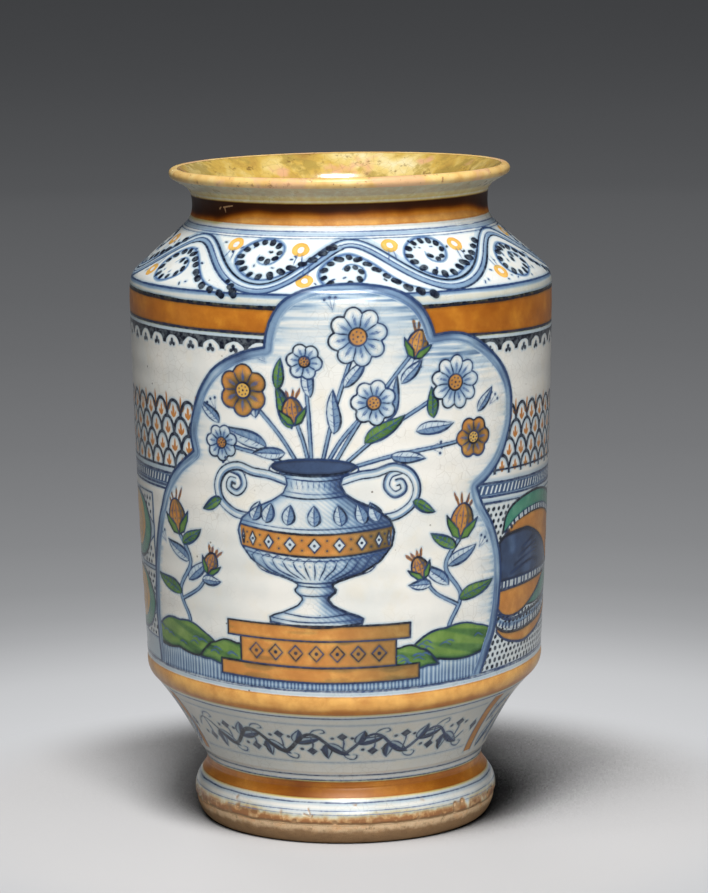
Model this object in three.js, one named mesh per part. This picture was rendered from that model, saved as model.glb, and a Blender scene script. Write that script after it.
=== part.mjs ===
// Albarello: a tin-glazed earthenware drug jar, in millimetres, +Z up.
// The origin is the middle of the resting face, and the jar's painted front faces -Y.
// The jar is one thrown and turned clay body under a glassy glaze coat. The coat has a node for
// each of the jar's zones, divided where a painted border or an edge of the profile divides them.
import * as THREE from "three";

// Heights, from the resting face up, each measured from the top of the zone below it
const footHeight = 25.5;
const bevelHeight = 40.5;
const wallHeight = 164.5;
const shoulderHeight = 25.5;
const neckHeight = 8.5;
const neckTopHeight = 7.3;
const flangeHeight = 8.2;

// Radii over the glaze
const baseRadius = 62.2;
const footRadius = 64.9;
const waistRadius = 59.6;
const bevelFootRadius = 62.3;
const lowerArrisRadius = 85;
const upperArrisRadius = 89.7;
const neckFootRadius = 65.6;
const throatRadius = 62.6;
const neckTopRadius = 64.6;
const lipRadius = 72.2;

// Thicknesses, the wall's and the floor's with both coats of glaze
const wallThickness = 6.4;
const floorThickness = 9;
const lipThickness = 4.6;
const glazeThickness = 0.4;

// The space left between the clay's facets and the glaze's, which keeps them from crossing
const bondGap = 0.02;

// Mouldings: the foot's edge left bare of glaze, the groove over the waist, and how far each
// arris's rounding reaches below it, above it and in from it
const bareFootHeight = 8.5;
const grooveHeight = 5.5;
const lowerArris = { below: 5.2, above: 2.2, inset: 3 };
const upperArris = { below: 3, above: 6.3, inset: 2.5 };

// Under the foot and inside it: the ring that the jar rests on, the hollow within the ring,
// and the fillet between the inner wall and the floor
const restingRingWidth = 12;
const hollowDepth = 2.5;
const floorFillet = 14;

// Facets round the axis
const turns = 48;

const point = (radius, level) => new THREE.Vector2(radius, level);

// The flow of each curve, as steps in radius and level: how it leaves its first corner and how
// it arrives at its last one, or for a simple bend the step from its first corner to its control
const flow = {
  hollow: { bend: point(37, 0) },
  bareFoot: { bend: point(2.3, 2.1) },
  foot: { leave: point(0.3, 7.5), arrive: point(0, -5) },
  groove: { bend: point(0.4, 3.2) },
  bevel: { leave: point(4.2, 9), arrive: point(-5.8, -6.6) },
  lowerArris: { bend: point(2.6, 3.8) },
  wall: { leave: point(1.9, 45), arrive: point(-0.6, -62) },
  upperArris: { bend: point(0, 4.5) },
  shoulder: { leave: point(-4.2, 4.1), arrive: point(7.4, -6.8) },
  neckFoot: { bend: point(-2.9, 2.4) },
  neckTop: { bend: point(0, 5.3) },
  flangeInside: { leave: point(-3.6, -2.4), arrive: point(0.4, 8) },
  throatInside: { leave: point(0, -6), arrive: point(-2.8, 2.6) },
  upperArrisInside: { bend: point(0.4, -1) },
  lowerArrisInside: { bend: point(-0.6, -4) },
  bevelInside: { leave: point(-6, -9), arrive: point(0.8, 12) },
  floorFillet: { bend: point(-0.8, -14) },
};

// Levels that the heights add up to
const waistLevel = footHeight;
const lowerArrisLevel = waistLevel + bevelHeight;
const upperArrisLevel = lowerArrisLevel + wallHeight;
const neckFootLevel = upperArrisLevel + shoulderHeight;
const throatLevel = neckFootLevel + neckHeight;
const neckTopLevel = throatLevel + neckTopHeight;
const lipLevel = neckTopLevel + flangeHeight;
const floorLevel = hollowDepth + floorThickness;

// Samples one stretch of a profile between two corners, straight where it has no flow.
function stretch(from, shape, to, steps) {
  if (!shape) {
    return [from, to];
  }
  const curve = shape.bend
    ? new THREE.QuadraticBezierCurve(from, from.clone().add(shape.bend), to)
    : new THREE.CubicBezierCurve(from, from.clone().add(shape.leave), to.clone().add(shape.arrive), to);
  return curve.getPoints(steps);
}

// Joins stretches into one run of points, each corner between them once.
function run(first, ...others) {
  return [...first, ...others.flatMap((points) => points.slice(1))];
}

// A corner moved off the profile by a thickness, square to the stretch between two corners.
function parallel(corner, from, to, thickness) {
  const along = to.clone().sub(from).normalize();
  return point(corner.x - along.y * thickness, corner.y + along.x * thickness);
}

// Corners of the outer profile, over the glaze
const glazeLine = point(footRadius, bareFootHeight);
const waist = point(waistRadius, waistLevel);
const bevelFoot = point(bevelFootRadius, waistLevel + grooveHeight);
const bevelTop = point(lowerArrisRadius - lowerArris.inset, lowerArrisLevel - lowerArris.below);
const wallFoot = point(lowerArrisRadius, lowerArrisLevel + lowerArris.above);
const wallTop = point(upperArrisRadius, upperArrisLevel - upperArris.below);
const shoulderFoot = point(upperArrisRadius - upperArris.inset, upperArrisLevel + upperArris.above);
const neckFoot = point(neckFootRadius, neckFootLevel);
const throat = point(throatRadius, throatLevel);
const neckTop = point(neckTopRadius, neckTopLevel);

// The rolled lip, a half-round bead square to the flange that runs into it
const beadRadius = lipThickness / 2;
const beadCentre = point(lipRadius - beadRadius, lipLevel - beadRadius);
const flangeSlope = beadCentre.clone().sub(neckTop).angle()
  - Math.asin(beadRadius / beadCentre.distanceTo(neckTop));
const beadStart = flangeSlope - Math.PI / 2;
const beadEnd = flangeSlope + Math.PI / 2;
const bead = new THREE.ArcCurve(beadCentre.x, beadCentre.y, beadRadius, beadStart, beadEnd, false);
const flangeEdge = bead.getPoint(0);
const lipInside = bead.getPoint(1);

// Corners of the inner profile, one wall thickness inside the outer one
const throatInside = point(throatRadius - wallThickness, throatLevel);
const neckFootInside = parallel(neckFoot, shoulderFoot, neckFoot, wallThickness);
const shoulderInside = parallel(shoulderFoot, shoulderFoot, neckFoot, wallThickness);
const wallTopInside = point(upperArrisRadius - wallThickness, wallTop.y - upperArris.above);
const wallFootInside = point(wallFoot.x - wallThickness, wallFoot.y + lowerArris.above);
const bevelTopInside = parallel(bevelTop, bevelFoot, bevelTop, wallThickness);
const waistInside = point(waistRadius - wallThickness, waistLevel);
const floorEdge = point(waistInside.x - floorFillet, floorLevel);
const floorMiddle = point(0, floorLevel);

// The glazed skin by zones, in order from the bare foot up the outside and down the inside
const zones = {
  foot_glaze: stretch(glazeLine, flow.foot, waist, 4),
  bevel_glaze: run(
    stretch(waist, flow.groove, bevelFoot, 2),
    stretch(bevelFoot, flow.bevel, bevelTop, 3),
  ),
  wall_glaze: run(
    stretch(bevelTop, flow.lowerArris, wallFoot, 2),
    stretch(wallFoot, flow.wall, wallTop, 4),
    stretch(wallTop, flow.upperArris, shoulderFoot, 2),
  ),
  shoulder_glaze: stretch(shoulderFoot, flow.shoulder, neckFoot, 3),
  neck_glaze: run(
    stretch(neckFoot, flow.neckFoot, throat, 2),
    stretch(throat, flow.neckTop, neckTop, 2),
    stretch(neckTop, null, flangeEdge),
  ),
  lip_glaze: bead.getPoints(6),
  inner_glaze: run(
    stretch(lipInside, flow.flangeInside, throatInside, 3),
    stretch(throatInside, flow.throatInside, neckFootInside, 2),
    stretch(neckFootInside, null, shoulderInside),
    stretch(shoulderInside, flow.upperArrisInside, wallTopInside, 1),
    stretch(wallTopInside, null, wallFootInside),
    stretch(wallFootInside, flow.lowerArrisInside, bevelTopInside, 1),
    stretch(bevelTopInside, flow.bevelInside, waistInside, 2),
    stretch(waistInside, flow.floorFillet, floorEdge, 3),
    stretch(floorEdge, null, floorMiddle),
  ),
};

// The skin as one run of points, and where each zone starts and ends in it
const skin = run(...Object.values(zones));
const spans = {};
let reached = 0;
for (const [name, points] of Object.entries(zones)) {
  const start = reached;
  reached += points.length - 1;
  spans[name] = { start, end: reached };
}

// A run moved in by a thickness, with its corners mitred.
function insetRun(points, thickness) {
  const normals = points.slice(1).map((to, index) => {
    const along = to.clone().sub(points[index]).normalize();
    return point(-along.y, along.x);
  });
  return points.map((at, index) => {
    const before = normals[Math.max(index - 1, 0)];
    const after = normals[Math.min(index, normals.length - 1)];
    const middle = before.clone().add(after).normalize();
    return at.clone().addScaledVector(middle, thickness / middle.dot(after));
  });
}
const clay = insetRun(skin, glazeThickness);
const glazeBack = insetRun(skin, glazeThickness - bondGap);

function turned(profile) {
  return new THREE.LatheGeometry(profile, turns).rotateX(Math.PI / 2);
}

// The clay: the hollowed underside, its resting ring, the foot's bare edge, then the glazed surface.
function clayBody() {
  const hollowMiddle = point(0, hollowDepth);
  const ringInside = point(baseRadius - restingRingWidth, 0);
  const ringOutside = point(baseRadius, 0);
  return turned(run(
    stretch(hollowMiddle, flow.hollow, ringInside, 3),
    stretch(ringInside, null, ringOutside),
    stretch(ringOutside, flow.bareFoot, clay[0], 3),
    clay,
  ));
}

// A zone's glaze coat: the skin forwards, then its back over the clay. A coat that reaches the
// jar's axis starts and ends on it, and any other closes on itself.
function glazeCoat({ start, end }) {
  const front = skin.slice(start, end + 1);
  const back = glazeBack.slice(start, end + 1).reverse();
  const reachesAxis = end === skin.length - 1;
  return turned(reachesAxis ? [...back, ...front] : [...front, ...back, front[0]]);
}

const finishes = {
  clay_body: { color: 0xb08a63, roughness: 0.85 },
  foot_glaze: { color: 0xd9d4c8, roughness: 0.22 },
  bevel_glaze: { color: 0xb9b4ac, roughness: 0.2 },
  wall_glaze: { color: 0xdfdcd4, roughness: 0.16 },
  shoulder_glaze: { color: 0xd5dae0, roughness: 0.16 },
  neck_glaze: { color: 0xb5752c, roughness: 0.18 },
  lip_glaze: { color: 0xd9a860, roughness: 0.2 },
  inner_glaze: { color: 0xc9a955, roughness: 0.14 },
};

function piece(name, geometry) {
  const mesh = new THREE.Mesh(geometry, new THREE.MeshStandardMaterial({ ...finishes[name], metalness: 0 }));
  mesh.name = name;
  return mesh;
}

const albarello = new THREE.Group();
albarello.add(piece("clay_body", clayBody()));
for (const [name, span] of Object.entries(spans)) {
  albarello.add(piece(name, glazeCoat(span)));
}

export default albarello;
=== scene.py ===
import math
import bpy
import numpy as np
from mathutils import Euler, Matrix, Vector


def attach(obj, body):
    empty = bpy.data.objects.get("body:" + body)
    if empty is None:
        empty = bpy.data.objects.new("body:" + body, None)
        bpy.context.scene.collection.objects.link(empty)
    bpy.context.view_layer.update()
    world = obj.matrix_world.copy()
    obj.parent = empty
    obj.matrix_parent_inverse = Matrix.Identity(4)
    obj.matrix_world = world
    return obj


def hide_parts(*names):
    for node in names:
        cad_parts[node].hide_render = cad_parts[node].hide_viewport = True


# Albarello: the looks of a tin-glazed earthenware drug jar. Angles are in degrees from the
# painted front, positive to the viewer's right. Levels and lengths are in millimetres until
# a mesh is made. Every ornament is drawn with brush strokes and fills on one canvas, which is
# the jar's outer skin, and each zone's glaze coat then takes its own part of the canvas.
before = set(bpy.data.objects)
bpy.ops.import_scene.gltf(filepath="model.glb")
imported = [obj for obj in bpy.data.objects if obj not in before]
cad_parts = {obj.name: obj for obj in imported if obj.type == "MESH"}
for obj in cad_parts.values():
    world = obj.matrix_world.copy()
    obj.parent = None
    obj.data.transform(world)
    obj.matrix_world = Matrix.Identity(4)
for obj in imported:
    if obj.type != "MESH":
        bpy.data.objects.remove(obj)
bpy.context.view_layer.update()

MM = 0.001
DEG = math.pi / 180
random = np.random.default_rng(1507)


def hashed(ix, iy, iz, seed):
    """A number from 0 to 1 for each whole-numbered place."""
    n = (ix * 73856093) ^ (iy * 19349663) ^ (iz * 83492791) ^ (seed * 2654435761)
    n = (n & 0xFFFFFFFF) * 1274126177 & 0xFFFFFFFF
    n = ((n ^ (n >> 15)) * 2246822519) & 0xFFFFFFFF
    return (n ^ (n >> 13)) / 0xFFFFFFFF


def noise(x, y, z, size, seed=0):
    """Smooth random values from -1 to 1, with features of about the given size."""
    places = np.broadcast_arrays(x / size, y / size, z / size)
    cells = [np.floor(v).astype(np.int64) for v in places]
    eased = [(v - c) ** 2 * (3 - 2 * (v - c)) for v, c in zip(places, cells)]
    total = 0.0
    for corner in np.ndindex(2, 2, 2):
        weight = 1.0
        for far, ease in zip(corner, eased):
            weight = weight * (ease if far else 1 - ease)
        total = total + weight * hashed(*(c + far for c, far in zip(cells, corner)), seed)
    return 2 * total - 1


def smooth(low, high, value):
    """An eased step from 0 at one value to 1 at another, which may be the lower one."""
    t = np.clip((value - low) / (high - low), 0, 1)
    return t * t * (3 - 2 * t)


# The profile: corners as radius and level, as in the CAD source, with the foot, the bevel and
# the arrises eased to the photograph's outline
GLAZE_LINE = (64.9, 8.5)
WAIST = (59.6, 25.5)
BEVEL_FOOT = (62.3, 31.0)
BEVEL_TOP = (82.4, 59.8)
WALL_FOOT = (85.0, 68.2)
WALL_TOP = (89.7, 227.5)
SHOULDER_FOOT = (87.2, 236.8)
NECK_FOOT = (65.6, 256.0)
THROAT = (62.6, 264.5)
NECK_TOP = (64.6, 271.8)
BEAD = (69.9, 277.7)
BEAD_RADIUS = 2.3
WALL = 6.4
GLAZE = 0.4
BOND = 0.02
THROAT_INSIDE = (56.2, 264.5)
WALL_TOP_INSIDE = (83.3, 221.2)
WALL_FOOT_INSIDE = (78.6, 70.4)
WAIST_INSIDE = (53.2, 25.5)
FLOOR_EDGE = (39.2, 11.5)


def stretch(start, end, leave=None, arrive=None, step=0.4):
    """Points along a straight or curved stretch of the profile, one about every step."""
    corners = [np.array(start, float)]
    if leave:
        corners.append(corners[0] + leave)
    if arrive:
        corners.append(np.array(end, float) + arrive)
    corners.append(np.array(end, float))
    t = np.linspace(0, 1, 400)[:, None]
    while len(corners) > 1:
        corners = [a + (b - a) * t for a, b in zip(corners, corners[1:])]
    line = corners[0]
    reached = np.concatenate([[0], np.cumsum(np.hypot(*np.diff(line, axis=0).T))])
    count = max(2, math.ceil(reached[-1] / step) + 1)
    at = np.linspace(0, reached[-1], count)
    return np.column_stack([np.interp(at, reached, line[:, 0]), np.interp(at, reached, line[:, 1])])


def joined(*lines):
    """Lines end to end, with each corner between two of them once."""
    return np.concatenate([lines[0]] + [line[1:] for line in lines[1:]])


def parallel(corner, start, end):
    """A corner moved in by the wall's thickness, square to the stretch from start to end."""
    along = np.subtract(end, start) / math.dist(start, end)
    return (corner[0] - along[1] * WALL, corner[1] + along[0] * WALL)


flange_run = math.dist(BEAD, NECK_TOP)
flange_slope = math.atan2(BEAD[1] - NECK_TOP[1], BEAD[0] - NECK_TOP[0]) - math.asin(BEAD_RADIUS / flange_run)


def on_bead(turn):
    """A point of the lip's bead, turned from its outer edge at 0 to its inner edge at 1."""
    a = flange_slope + (turn - 0.5) * math.pi
    return (BEAD[0] + BEAD_RADIUS * math.cos(a), BEAD[1] + BEAD_RADIUS * math.sin(a))


NECK_FOOT_INSIDE = parallel(NECK_FOOT, SHOULDER_FOOT, NECK_FOOT)
SHOULDER_INSIDE = parallel(SHOULDER_FOOT, SHOULDER_FOOT, NECK_FOOT)
BEVEL_TOP_INSIDE = parallel(BEVEL_TOP, BEVEL_FOOT, BEVEL_TOP)
FLOOR_MIDDLE = (0, FLOOR_EDGE[1])
zones = {
    "foot_glaze": stretch(GLAZE_LINE, WAIST, (1.9, 9.6), (-1.2, -4.8), 0.42),
    "bevel_glaze": joined(
        stretch(WAIST, BEVEL_FOOT, (0.4, 3.2)),
        stretch(BEVEL_FOOT, BEVEL_TOP, (4.2, 9), (-5.8, -6.6)),
    ),
    "wall_glaze": joined(
        stretch(BEVEL_TOP, WALL_FOOT, (3.2, 2.6)),
        stretch(WALL_FOOT, WALL_TOP, (1.9, 45), (-0.6, -62)),
        stretch(WALL_TOP, SHOULDER_FOOT, (0.3, 6.4)),
    ),
    "shoulder_glaze": stretch(SHOULDER_FOOT, NECK_FOOT, (-4.2, 4.1), (7.4, -6.8), 0.37),
    "neck_glaze": joined(
        stretch(NECK_FOOT, THROAT, (-2.9, 2.4)),
        stretch(THROAT, NECK_TOP, (0, 5.3)),
        stretch(NECK_TOP, on_bead(0)),
    ),
    "lip_glaze": np.array([on_bead(t) for t in np.linspace(0, 1, 25)]),
    "inner_glaze": joined(
        stretch(on_bead(1), THROAT_INSIDE, (-3.6, -2.4), (0.4, 8), 0.6),
        stretch(THROAT_INSIDE, NECK_FOOT_INSIDE, (0, -6), (-2.8, 2.6), 0.8),
        stretch(NECK_FOOT_INSIDE, SHOULDER_INSIDE, step=2),
        stretch(SHOULDER_INSIDE, WALL_TOP_INSIDE, (0.4, -1), step=2),
        stretch(WALL_TOP_INSIDE, WALL_FOOT_INSIDE, step=3),
        stretch(WALL_FOOT_INSIDE, BEVEL_TOP_INSIDE, (-0.6, -4), step=1.5),
        stretch(BEVEL_TOP_INSIDE, WAIST_INSIDE, (-6, -9), (0.8, 12), 1.5),
        stretch(WAIST_INSIDE, FLOOR_EDGE, (-0.8, -14), step=1),
        stretch(FLOOR_EDGE, FLOOR_MIDDLE, step=2),
    ),
}


def normals_of(profile):
    """The outward direction, square to a profile, at each of its points."""
    along = np.gradient(profile, axis=0)
    along = along / np.maximum(np.hypot(along[:, 0], along[:, 1]), 1e-9)[:, None]
    return np.column_stack([along[:, 1], -along[:, 0]])


# How the pot departs from a turned form: the slope of its rim, how far the lower arris climbs
# towards the sides, and how far the bevel leans to the left
RIM_TILT = 0.0075
ARRIS_CLIMB = 3.7
BEVEL_LEAN = 0.7


def place(radius, angle, level):
    """Positions in mm, with the unevenness of a jar thrown and turned by hand."""
    a = angle * DEG
    uneven = 0.13 * np.sin(2 * a + 0.6) * np.sin(level / 47 + 0.4) + 0.09 * np.sin(3 * a + level / 60)
    uneven = uneven + 0.05 * np.sin(level / 1.75 + 0.9 * np.sin(a)) * smooth(62, 75, level)
    x, y = radius * np.sin(a), -radius * np.cos(a)
    uneven = uneven + 0.10 * noise(x, y, level, 24.0, 5) + 0.035 * noise(x, y, level, 7.0, 6)
    radius = radius + uneven * smooth(0, 14, radius)
    tilt = RIM_TILT * smooth(255, 270, level) * radius * np.sin(a)
    climb = (ARRIS_CLIMB + 0.5 * np.sin(a)) * np.sin(a) ** 2
    climb = climb * smooth(24, 54, level) * smooth(118, 74, level)
    lean = BEVEL_LEAN * smooth(14, 34, level) * smooth(66, 48, level)
    return np.stack([radius * np.sin(a) - lean, -radius * np.cos(a), level + tilt + climb], axis=-1)


# The canvas: the outer skin from the glaze line to the lip's bead, by angle and level, with its
# columns closer together over the medallion
ANGLES = np.concatenate([np.arange(-180, -72, 0.4), np.arange(-72, 64, 0.24), np.arange(64, 179.9, 0.4)])
painted_zones = ["foot_glaze", "bevel_glaze", "wall_glaze", "shoulder_glaze", "neck_glaze"]
skin = joined(*(zones[name] for name in painted_zones))
spans = {}
reached = 0
for name in painted_zones:
    spans[name] = (reached, reached + len(zones[name]) - 1)
    reached = spans[name][1]
RADII, LEVELS = skin.T
ARC = np.concatenate([[0], np.cumsum(np.hypot(*np.diff(skin, axis=0).T))])
UP = LEVELS[:, None]
ROUND = RADII[:, None] * DEG * ANGLES[None, :]
EVERYWHERE = (slice(None), slice(None))

# A layer holds the distance in mm in from the edge of what is painted on it, and FLAT where there
# is nothing. Tone is the ink's darkness, and wash the strength of the thin blue. Warm is the cream
# and pink of worn glaze. The browning layer holds the orange's browning, or its thinning below zero;
# in the neck, waist and lower bands it also holds painted shade, and painted light where below zero.
FLAT = -3.0
PAD = 1.6
LAYERS = ("ink", "orange", "yellow", "green", "teal", "bare")
canvas = {name: np.full(ROUND.shape, FLAT, np.float32) for name in LAYERS}
tone = np.ones(ROUND.shape, np.float32)
wash, warm, browning_and_painted_light = (np.zeros(ROUND.shape, np.float32) for _ in range(3))

X = RADII[:, None] * np.sin(ANGLES * DEG)
Y = -RADII[:, None] * np.cos(ANGLES * DEG)
Z = np.broadcast_to(UP, X.shape)
coarse = noise(X, Y, Z, 21.0, 11)
medium = noise(X, Y, Z, 6.5, 12)
fine = noise(X, Y, Z, 2.1, 13)


def arc_at(level):
    return np.interp(level, LEVELS, ARC)


def radius_at(level):
    return np.interp(level, LEVELS, RADII)


def between(line, low, high):
    """The part of a rising run of values that lies between two limits."""
    return slice(int(np.searchsorted(line, low)), int(np.searchsorted(line, high)))


def windows(a_low, a_high, s_low, s_high):
    """The canvas's rows and columns within the limits, and the whole turn to add to an angle there."""
    rows = between(ARC, s_low, s_high)
    if rows.start >= rows.stop:
        return
    for turn in (-360, 0, 360):
        columns = between(ANGLES, a_low + turn, a_high + turn)
        if columns.start < columns.stop:
            yield rows, columns, turn


def put(layer, at, value, dark=1.0):
    """Adds a painted shape to a layer: value is the distance in from its edge."""
    old = canvas[layer][at]
    if layer == "ink":
        tone[at] = np.where(value > np.maximum(old, -0.5), dark, tone[at])
    np.maximum(old, value, out=old)


def raise_to(target, value, at=EVERYWHERE):
    """Raises what a part of the canvas holds to a value, where that is more."""
    target[at] = np.maximum(target[at], value)


def dab(layer, start, end, first, last, dark=1.0, cut=False):
    """One straight touch of the brush between two places, with its half width at each end."""
    s0, s1 = arc_at(start[1]), arc_at(end[1])
    reach = max(first, last) + PAD
    side = reach / radius_at((start[1] + end[1]) / 2) / DEG
    limits = min(start[0], end[0]) - side, max(start[0], end[0]) + side
    for rows, columns, turn in windows(*limits, min(s0, s1) - reach, max(s0, s1) + reach):
        scale = RADII[rows, None] * DEG
        x = ROUND[rows, columns] - (start[0] + turn) * scale
        s = ARC[rows, None] - s0
        dx, ds = (end[0] - start[0]) * scale, s1 - s0
        t = np.clip((x * dx + s * ds) / np.maximum(dx * dx + ds * ds, 1e-6), 0, 1)
        value = first + (last - first) * t - np.hypot(x - t * dx, s - t * ds)
        if layer == "wash":
            raise_to(wash, dark * smooth(-0.5, 0.5, value), (rows, columns))
        elif cut:
            old = canvas[layer][rows, columns]
            np.minimum(old, -value, out=old)
        else:
            put(layer, (rows, columns), value, dark)


def spline(points, step=1.3):
    """A smooth line through points, with a new one about every step."""
    p = np.array(points, float)
    p = np.vstack([2 * p[0] - p[1], p, 2 * p[-1] - p[-2]])
    line = []
    for a, b, c, d in zip(p, p[1:], p[2:], p[3:]):
        count = max(2, math.ceil(math.hypot((c[0] - b[0]) * 1.5, c[1] - b[1]) / step))
        t = np.arange(count)[:, None] / count
        bent = 2 * b + (c - a) * t + (2 * a - 5 * b + 4 * c - d) * t**2
        line.append(0.5 * (bent + (3 * b - a - 3 * c + d) * t**3))
    return np.vstack(line + [p[-2][None]])


def stroke(points, width, layer="ink", dark=1.0, ends=(0.45, 0.45), straight=False, wobble=0.12):
    """A brush stroke through points, thinner towards its ends, with a slightly unsteady hand."""
    line = np.array(points, float) if straight else spline(points)
    count = len(line)
    t = np.linspace(0, 1, count)
    taper = np.minimum(ends[0] + (1 - ends[0]) * t * 5, ends[1] + (1 - ends[1]) * (1 - t) * 5)
    half = width / 2 * np.minimum(taper, 1) * (1 + 0.14 * np.sin(t * 9 + random.uniform(0, 6)))
    phase = random.uniform(0, 6, 2)
    line = line + wobble * np.column_stack([0.6 * np.sin(t * 7 + phase[0]), np.sin(t * 6 + phase[1])])
    shade = dark * (1 + 0.10 * np.sin(t * 5 + phase[0]))
    for i in range(count - 1):
        dab(layer, line[i], line[i + 1], half[i], half[i + 1], shade[i])


def field(points, margin=PAD):
    """The distance in from the edge of a closed outline, over the canvas's window round it."""
    p = np.array(points, float)
    s = arc_at(p[:, 1])
    side = margin / radius_at(p[:, 1].mean()) / DEG
    across, along = (p[:, 0].min() - side, p[:, 0].max() + side), (s.min() - margin, s.max() + margin)
    for rows, columns, turn in windows(*across, *along):
        scale = RADII[rows, None] * DEG
        x, level = ROUND[rows, columns], ARC[rows, None]
        nearest = np.full(x.shape, 1e9)
        within = np.zeros(x.shape, bool)
        for i in range(len(p)):
            j = (i + 1) % len(p)
            x0, x1 = (p[i, 0] + turn) * scale, (p[j, 0] + turn) * scale
            dx, ds = x1 - x0, s[j] - s[i]
            t = np.clip(((x - x0) * dx + (level - s[i]) * ds) / np.maximum(dx * dx + ds * ds, 1e-9), 0, 1)
            nearest = np.minimum(nearest, (x - x0 - t * dx) ** 2 + (level - s[i] - t * ds) ** 2)
            if abs(ds) > 1e-9:
                crosses = ((level >= s[i]) != (level >= s[j])) & (x < x0 + (level - s[i]) / ds * dx)
                within ^= crosses
        yield (rows, columns), np.where(within, 1, -1) * np.sqrt(nearest)


def clear(at, value):
    """Wipes every layer inside a shape."""
    for layer in canvas.values():
        old = layer[at]
        np.minimum(old, -value, out=old)
    wash[at] *= 1 - smooth(-0.3, 0.3, value)


def fill(points, layer=None, shade=0.0, wipe=False):
    """Fills a closed outline with a colour layer and a wash, over what is there or wiping it first."""
    for at, value in field(points):
        if wipe:
            clear(at, value)
        if layer:
            put(layer, at, value)
        if shade:
            raise_to(wash, shade * smooth(-0.35, 0.35, value), at)


def outline(points, width, dark=1.0, layer="ink"):
    """A line of even width along a closed outline."""
    closed = np.vstack([points, points[:1]])
    stroke(closed, width, layer, dark, (1, 1), straight=True, wobble=0.0)


def by_angle(level):
    """The level in each column, from one number or from a function of the angle."""
    return np.broadcast_to(level(ANGLES) if callable(level) else level, ANGLES.shape)


def lay(layer, rows, value, soft, dark, first, last):
    """Lays a line or band on a layer, or as a wash with a soft edge, round all or some of the jar."""
    if last - first < 359:
        value = np.minimum(value, np.minimum(ANGLES - first, last - ANGLES) * 1.4)
    if layer == "wash":
        raise_to(wash, dark * smooth(-soft, soft, value), (rows, slice(None)))
    else:
        put(layer, (rows, slice(None)), value, dark)


def level_line(level, width, dark=1.0, layer="ink", low=-180.0, high=180.0):
    """A line painted round the jar, at a level that may depend on the angle."""
    at = by_angle(level)
    east, north = np.sin(ANGLES * DEG) * 90, np.cos(ANGLES * DEG) * 90
    s = arc_at(at + 0.12 * noise(east, north, at, 12.0, int(width * 10 + at[0])))
    width = width * (1 + 0.22 * noise(east, north, at, 9.0, 3))
    rows = between(ARC, s.min() - 3, s.max() + 3)
    lay(layer, rows, width / 2 - np.abs(ARC[rows, None] - s), 0.6, dark, low, high)


def band(low, high, layer, dark=1.0, first=-180.0, last=180.0):
    """A filled band round the jar between two levels."""
    bottom, top = arc_at(by_angle(low)), arc_at(by_angle(high))
    rows = between(ARC, bottom.min() - 2, top.max() + 2)
    value = np.minimum(ARC[rows, None] - bottom, top - ARC[rows, None])
    lay(layer, rows, value, 0.5, dark, first, last)


def tilted(level, amount):
    """A level that leans down to the right of the front, as the painted bands do."""
    return lambda a: level - amount * np.sin(a * DEG)


def moved(line, rise):
    """The level function of a line, moved up by some mm."""
    return lambda a: line(a) + rise


def level_up(level, rise):
    """The level that lies some way up the skin from another."""
    return np.interp(arc_at(level) + rise, ARC, LEVELS)


def near(a, level, right, up):
    """The place that lies some mm right of and up the skin from another."""
    return a + right / (radius_at(level) * DEG), level_up(level, up)


def nears(a, level, offsets):
    """The places that lie some way right of and up the skin from one, as an array."""
    return np.array([near(a, level, right, up) for right, up in offsets])


def oval(a, level, half_width, half_height):
    """A closed ellipse round a place, with its half sizes in mm."""
    t = np.linspace(0, 2 * math.pi, 26, endpoint=False)
    return nears(a, level, zip(half_width * np.cos(t), half_height * np.sin(t)))


def lozenge(a, level, half_width, half_height, right=0, up=0):
    """A lozenge whose middle lies some mm right of and up the skin from a place."""
    west, east = (right - half_width, up), (right + half_width, up)
    north, south = (right, up + half_height), (right, up - half_height)
    return nears(a, level, (west, north, east, south))


def beside(path, distance):
    """A path moved to its left by a distance in mm."""
    path = np.array(path, float)
    radius = radius_at(path[:, 1]) * DEG
    s = arc_at(path[:, 1])
    dx, ds = np.gradient(path[:, 0]) * radius, np.gradient(s)
    length = np.maximum(np.hypot(dx, ds), 1e-6)
    levels = np.interp(s + dx / length * distance, ARC, LEVELS)
    return np.column_stack([path[:, 0] - ds / length * distance / radius, levels])


def dot(a, level, size, dark=1.0, lean=(0.0, 0.0)):
    """A dot of ink, drawn out a little along its lean."""
    dab("ink", near(a, level, -lean[0], -lean[1]), near(a, level, *lean), size, size, dark)


def ring(a, level, size, width):
    """A yellow ring, a little uneven."""
    outline(oval(a, level, size, size * random.uniform(0.92, 1.12)), width, layer="yellow")


NECK_BAND = (259.8, 268.6)

# The neck's losses at the left: where each starts, and how far right and up it runs
SCRATCHES = (
    (-49.5, 266.2, 3.4, 0.6), (-49.0, 266.0, 0.6, -1.9), (-46.4, 266.8, 2.2, 0.3), (-52.0, 265.4, 0.9, 0.9),
)


def scratch(marks, first, last):
    """Small losses of the paint: where each starts, and how far right and up it runs."""
    for a, level, right, up in marks:
        dab("bare", (a, level), near(a, level, right, up), first, last)


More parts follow.
